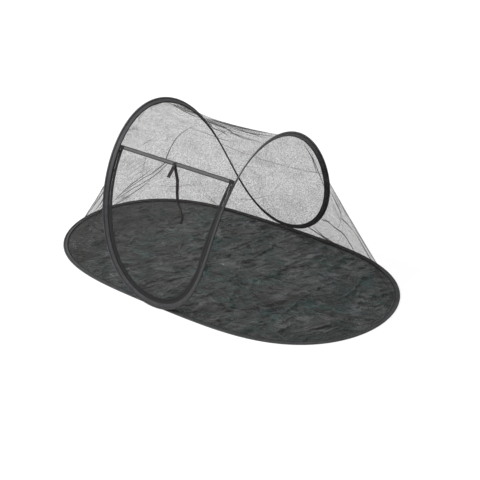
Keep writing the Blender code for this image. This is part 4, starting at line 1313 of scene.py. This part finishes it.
def teeth(name, high, side, body, low=FRONT, shift=0.0, mirrored=(False, True)):
    """A row of teeth on one side of the zip, between two angles, on the right, the left or both."""
    angles = spread_angles(low, high, 0.35)
    places = np.array([zip_frame(angle)[0] for angle in angles])
    steps = walked(places)
    found = []
    for flipped in mirrored:
        at = shift + (TOOTH_PITCH if flipped and low == FRONT else 0.0)
        while at < steps[-1]:
            place, run, across, outward = zip_frame(float(np.interp(at, steps, angles)))
            inner_reach = PARTED if on_slider_run(place) else OVERLAP
            half = (TOOTH_END - inner_reach) / 2
            place = place + side * (inner_reach + TOOTH_END) / 2 * across
            axes = (side * across, outward, run)
            if flipped:
                place, axes = flip(place), flip(axes)
            found.append((place, axes[0] * (half / MM), axes[1], axes[2]))
            at += TOOTH_PITCH
    tall, thick = 0.62 * MM, 0.34 * MM
    profile = [(tall, thick), (-tall, thick), (-tall, -thick), (tall, -thick)]
    stations = [(-1.0 * MM, 1.15), (-0.6 * MM, 1.3), (-0.2 * MM, 0.95), (1.0 * MM, 0.95)]
    return shapes(name, found, profile, stations, COIL, body)


coil_top = leg_angle(COIL_END)
outer_teeth = teeth("zip_teeth_outer", coil_top, -1, "tent")
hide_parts("zip_outer_coil")
door_top = leg_angle(-HINGE_DROP - 6 * MM)
door_teeth = teeth("zip_teeth_door", door_top, 1, "door", shift=0.5 * TOOTH_PITCH)
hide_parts("zip_door_coil")
strip_low = leg_angle(1.5 * MM - HINGE_DROP)
for side_name, flips in SIDES.items():
    name = "zip_teeth_strip_" + side_name
    strip_teeth = teeth(name, coil_top, 1, "tent", low=strip_low, mirrored=(flips,))
    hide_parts("strip_coil_" + side_name)

# %% [markdown]
# ## The cords in the zip
# A coil is woven onto its tape round a cord, which fills the space between the bars. It is a narrow band
# here, on either side of the middle.

# %% Zip cords
CORD_START, CORD_END = 0.35 * MM, 3.7 * MM


def cord_row(side):
    """Across the cord inside a coil."""
    def row(degrees):
        here = zip_frame(degrees)
        low = PARTED if degrees > LEG_LOW and on_slider_run(here[0]) else CORD_START
        return [off(here, side * (low + share * (CORD_END - low)), -0.1 * MM) for share in (0.0, 0.5, 1.0)]
    return row


cloth("zip_cord_outer", round_the_u(cord_row(-1), coil_top), 0.5 * MM, ZIP_CLOTH)
inner_cord = cloth("zip_cord_inner", round_the_u(cord_row(1), coil_top), 0.5 * MM, ZIP_CLOTH, body=None)
bends(inner_cord)
print("points on a cord:", len(inner_cord.data.vertices))

# %% [markdown]
# ## Header webbing
# A strong flat webbing bridges the front over the door and takes the pull of the sleeves. It is sewn
# along both edges. Between the two sleeves it hangs straight, with a very slight wave from the sewing.
# At each end a short dark tab of zip tape covers the top of the zip.

# %% Header
HEADER_LEVEL = 1.2 * MM


def header_row(distance, level, columns=48):
    here = leg_frame(distance)
    degrees = leg_angle(distance)
    _, across, outward = door_axes(degrees)
    first_point = door_edge(degrees) + 2.5 * MM * across + level * outward
    right = [first_point, off(here, 0.0, level), off(here, FLAT_EDGE, level)]
    inner = right[-1]
    shares = np.linspace(1.0, -1.0, columns + 1)[1:-1]
    middle_part = [inner * np.array([share, 1.0, 1.0]) for share in shares]
    return right + middle_part + list(flip(right[::-1]))


header_levels = np.linspace(-HEADER_HALF, HEADER_HALF, 9)
header_rows = []
for distance in header_levels:
    row = header_row(float(distance), HEADER_LEVEL)
    wave = [0.18 * MM * math.sin(37 * point[0] + 160 * distance) for point in row]
    header_rows.append([point + np.array([0.0, -1.0, 0.4]) * rise for point, rise in zip(row, wave)])
header_rows = np.transpose(header_rows, (1, 0, 2))
header_band = cloth("door_header_band", header_rows, 1.1 * MM, HEADER_CLOTH)
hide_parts("door_header")
front_normal = unit(np.array([0.0, -down[2], down[1]]))
front_normal = front_normal if front_normal[1] < 0 else -front_normal
for side_name, flips in SIDES.items():
    tab_rows = []
    for distance in np.linspace(-HEADER_HALF + 0.2 * MM, HEADER_HALF + 0.8 * MM, 9):
        row = header_row(float(distance), HEADER_LEVEL + 1.3 * MM)[:3]
        row = [row[0] + share * (row[2] - row[0]) for share in np.linspace(0.0, 0.92, 7)]
        tab_rows.append(flip(row) if flips else row)
    tab = cloth("header_tab_" + side_name, tab_rows, 0.8 * MM, ZIP_CLOTH)
    declare(tab, tab_rows, (0.030, 0.019))
for number, distance in enumerate((2.2 * MM - HEADER_HALF, HEADER_HALF - 2.2 * MM)):
    path = header_row(distance, HEADER_LEVEL + 0.75 * MM)
    stitches(f"header_seam_{number}", path, front_normal, THREAD, thick=0.6 * MM)
declare(header_band, header_rows, (0.0172, 0.72))

# %% [markdown]
# ## Tie straps
# Two dark straps are sewn to the middle of the header under one square patch with a box stitch. When
# the door is rolled up they go round the roll. The short one hangs outside on the net, and the long
# one hangs free inside, so it sways a little to one side and turns slightly as it goes down.

# %% Ties
STRAP_THICKNESS = 0.9 * MM
HALF_HEADER, GAP, HALF_STRAP = 0.6 * MM, 0.3 * MM, 0.5 * MM


def middle_point(distance, level):
    point = off(leg_frame(distance), FLAT_EDGE, level)
    return np.array([0.0, point[1], point[2]])


def strap(name, points, sides, half_width, body):
    """A strap along points, whose width follows the given side directions."""
    rows = []
    for point, side in zip(points, sides):
        rows.append([point + share * half_width * side for share in np.linspace(-1.0, 1.0, 7)])
    return cloth(name, rows, STRAP_THICKNESS, TIE_CLOTH, body=body), rows


x_axis = np.array([1.0, 0.0, 0.0])
over = HEADER_LEVEL + HALF_HEADER + GAP + HALF_STRAP
patch_points = [middle_point(d, over) for d in np.linspace(HEADER_HALF - 1 * MM, 1 * MM - HEADER_HALF, 7)]
patch, patch_rows = strap("tie_patch_cloth", patch_points, [x_axis] * 7, 8.5 * MM, "tent")
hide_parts("tie_patch")
corner = 6.6 * MM
low_mark = middle_point(-5.2 * MM, over + 0.5 * MM)
high_mark = middle_point(5.2 * MM, over + 0.5 * MM)
a, b = high_mark - corner * x_axis, high_mark + corner * x_axis
c, d = low_mark + corner * x_axis, low_mark - corner * x_axis
box_path = []
for one, other in ((a, b), (b, c), (c, d), (d, a), (a, c), (c, b), (b, d)):
    box_path += [one + share * (other - one) for share in np.linspace(0.0, 0.98, 12)]
box_stitch = stitches("tie_patch_stitch", box_path, front_normal, THREAD, pitch=2.6 * MM, thick=0.5 * MM)
declare(patch, patch_rows, (0.0172, 0.0152))

top = -HEADER_HALF - HALF_STRAP - GAP
rest = NET / 2 + GAP + HALF_STRAP
short_points, short_sides = [], []
for share in np.linspace(0.0, 1.0, 22):
    level = rest + 0.9 * MM * math.sin(math.pi * share) + 0.8 * MM * share
    point = middle_point(top - share * 54 * MM, level)
    short_points.append(point + np.array([-6.0 * MM * share * share, 0.0, 0.0]))
    short_sides.append(unit(np.array([1.0, 0.05 * math.sin(3 * share), -0.10 * share])))
short_tie, short_rows = strap("short_tie_strap", short_points, short_sides, 8.5 * MM, "outer_tie")
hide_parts("short_tie")
declare(short_tie, short_rows, (0.0172, 0.0560))

under = HEADER_LEVEL - HALF_HEADER - GAP - HALF_STRAP
high_point = middle_point(0.0, under)
bends_at = [
    (0, 0, 0), (-3.4, 2, -36), (-1.0, 6, -72), (-3.8, 3, -108), (-5.2, -2, -146),
    (-4.2, -3, -178), (4.2, 0, -210), (9.8, 3, -236), (7.0, 2, -258), (-2.6, 0, -280),
]
long_points = [high_point + step for step in smooth(np.array(bends_at) * MM, 70, 10)]
long_sides = []
for share in np.linspace(0.0, 1.0, 70):
    twist = 0.35 + 0.45 * math.sin(2.1 * math.pi * share) * min(1.0, share * 3)
    long_sides.append(np.array([math.cos(twist), math.sin(twist), 0.0]))
long_tie, long_rows = strap("long_tie_strap", long_points, long_sides, 6.5 * MM, "inner_tie")
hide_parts("long_tie")
declare(long_tie, long_rows, (0.0132, 0.293))

# %% [markdown]
# ## Metal parts and stops
# The sliders, their pulls, the zip's stops and the spring wires keep their CAD shape, because their fit
# is what makes them work. They get a finish, and the edges of the sliders and pulls are rounded, as die
# casting and enamel leave them.

# %% Metal and stops
def finish_node(name, finish, round_by=0.0):
    node = bpy.data.objects[name]
    node.data.materials.clear()
    node.data.materials.append(finish)
    if round_by:
        edge_round = node.modifiers.new("edges", "BEVEL")
        edge_round.width = round_by
        edge_round.segments = 2
        edge_round.limit_method = "ANGLE"
        edge_round.angle_limit = math.radians(35)
        edge_round.harden_normals = True


for side_name in SIDES:
    finish_node("zip_stop_" + side_name, COIL)
    finish_node("slider_" + side_name, ENAMEL, 0.22 * MM)
    finish_node("pull_" + side_name, ENAMEL, 0.25 * MM)
for name in ("hoop_wire", "hoop_ferrule", "floor_ring_wire", "floor_ring_ferrule"):
    finish_node(name, STEEL)
print("kept from the CAD model:", [o.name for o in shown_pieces() if "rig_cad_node" in o])

# %% [markdown]
# ## Camera
# The photograph was taken from above and to the right of the front, with a long lens. The camera looks
# at a point inside the tent from 5.6 m away and is tilted by a few degrees, as the photographer held it.

# %% Camera
azimuth, elevation, roll = (math.radians(value) for value in (43.6055, 27.7165, -4.5257))
LOOK_AT, DISTANCE = np.array([0.2675, -0.1595, 0.2749]), 5.6172
SENSOR, LENS_SHARE = 36.0, 1351.88 / 480.0
flat_back = np.array([math.sin(azimuth), -math.cos(azimuth), 0.0])
back = math.cos(elevation) * flat_back + math.sin(elevation) * up
level_right = unit(np.cross(-back, up))
level_up = np.cross(level_right, -back)
right_axis = math.cos(roll) * level_right + math.sin(roll) * level_up
up_axis = -math.sin(roll) * level_right + math.cos(roll) * level_up
eye = LOOK_AT + DISTANCE * back
camera_data = bpy.data.cameras.new("camera")
camera_data.sensor_width = SENSOR
camera_data.lens = SENSOR * LENS_SHARE
camera = bpy.data.objects.new("camera", camera_data)
place_rows = [[axis[k] for axis in (right_axis, up_axis, back, eye)] for k in range(3)]
camera.matrix_world = Matrix(place_rows + [[0.0, 0.0, 0.0, 1.0]])
bpy.context.collection.objects.link(camera)
bpy.context.scene.camera = camera
print("camera at", np.round(eye, 2), "lens", round(camera_data.lens, 1), "mm")

# %% [markdown]
# ## Floor and sky
# The photograph is a cut-out on white. To the camera, also through the netting or by way of a
# reflection, the floor glows just enough to reach white and still takes the tent's shadow. As a light
# on the tent it is a plain pale matt surface. The sky is white to the camera and weaker as a light.

# %% Floor and sky
def grey(level):
    return (level, level, level, 1.0)


floor_data = bpy.data.meshes.new("floor")
floor_data.from_pydata([(-30, -30, 0), (30, -30, 0), (30, 30, 0), (-30, 30, 0)], [], [(0, 1, 2, 3)])
floor = bpy.data.objects.new("floor", floor_data)
floor.location.z = -0.2 * MM
bpy.context.collection.objects.link(floor)
paper = bpy.data.materials.new("paper")
paper.use_nodes = True
paper.node_tree.nodes.clear()
wiring = Wiring(paper.node_tree)
matt = wiring.node("ShaderNodeBsdfDiffuse", None, {"Color": grey(0.80)})
dim = wiring.node("ShaderNodeBsdfDiffuse", None, {"Color": grey(0.25)})
glow = wiring.node("ShaderNodeEmission", None, {"Color": grey(0.80), "Strength": 1.0})
seen = wiring.node("ShaderNodeAddShader", None, {0: dim, 1: glow})
rays = ("Is Camera Ray", "Is Glossy Ray", "Is Transmission Ray")
camera_ray, glossy_ray, passing_ray = (wiring.node("ShaderNodeLightPath", out=name) for name in rays)
viewed = camera_ray.math("MAXIMUM", glossy_ray).math("MAXIMUM", passing_ray)
surface = wiring.node("ShaderNodeMixShader", None, {0: viewed, 1: matt, 2: seen})
wiring.node("ShaderNodeOutputMaterial", None, {"Surface": surface})
floor_data.materials.append(paper)

world = bpy.data.worlds.new("sky")
world.use_nodes = True
world.node_tree.nodes.clear()
wiring = Wiring(world.node_tree)
light_sky = wiring.node("ShaderNodeBackground", None, {"Color": grey(1.0), "Strength": 0.45})
seen_sky = wiring.node("ShaderNodeBackground", None, {"Color": grey(1.0), "Strength": 1.0})
camera_ray = wiring.node("ShaderNodeLightPath", out="Is Camera Ray")
sky = wiring.node("ShaderNodeMixShader", None, {0: camera_ray, 1: light_sky, 2: seen_sky})
wiring.node("ShaderNodeOutputWorld", None, {"Surface": sky})
bpy.context.scene.world = world
print("floor and sky nodes:", len(paper.node_tree.nodes), len(world.node_tree.nodes))

# %% [markdown]
# ## Lights
# The light is soft. Besides the sky there are four large round panels: the brightest in front on the
# left, one at the left end, a faint one on the right, and one behind that draws the sleeve's edge.

# %% Light panels
def panel(name, place, target, size, power):
    light = bpy.data.lights.new(name, "AREA")
    light.shape = "DISK"
    light.size = size
    light.energy = power
    made = bpy.data.objects.new(name, light)
    made.location = place
    made.rotation_euler = (Vector(target) - Vector(place)).to_track_quat("-Z", "Y").to_euler()
    bpy.context.collection.objects.link(made)


panel("key", (-2.6, -5.6, 5.4), (0, 0, 0.1), 2.4, 560)
panel("side", (-5.0, -0.6, 2.6), (0, 0, 0.2), 1.6, 150)
panel("fill", (3.2, -1.5, 2.6), (0, 0, 0.2), 2.6, 15)
panel("rim", (-3.3, 3.9, 2.9), (0, 0, 0.1), 2.6, 70)
bpy.context.scene.view_settings.view_transform = "Standard"
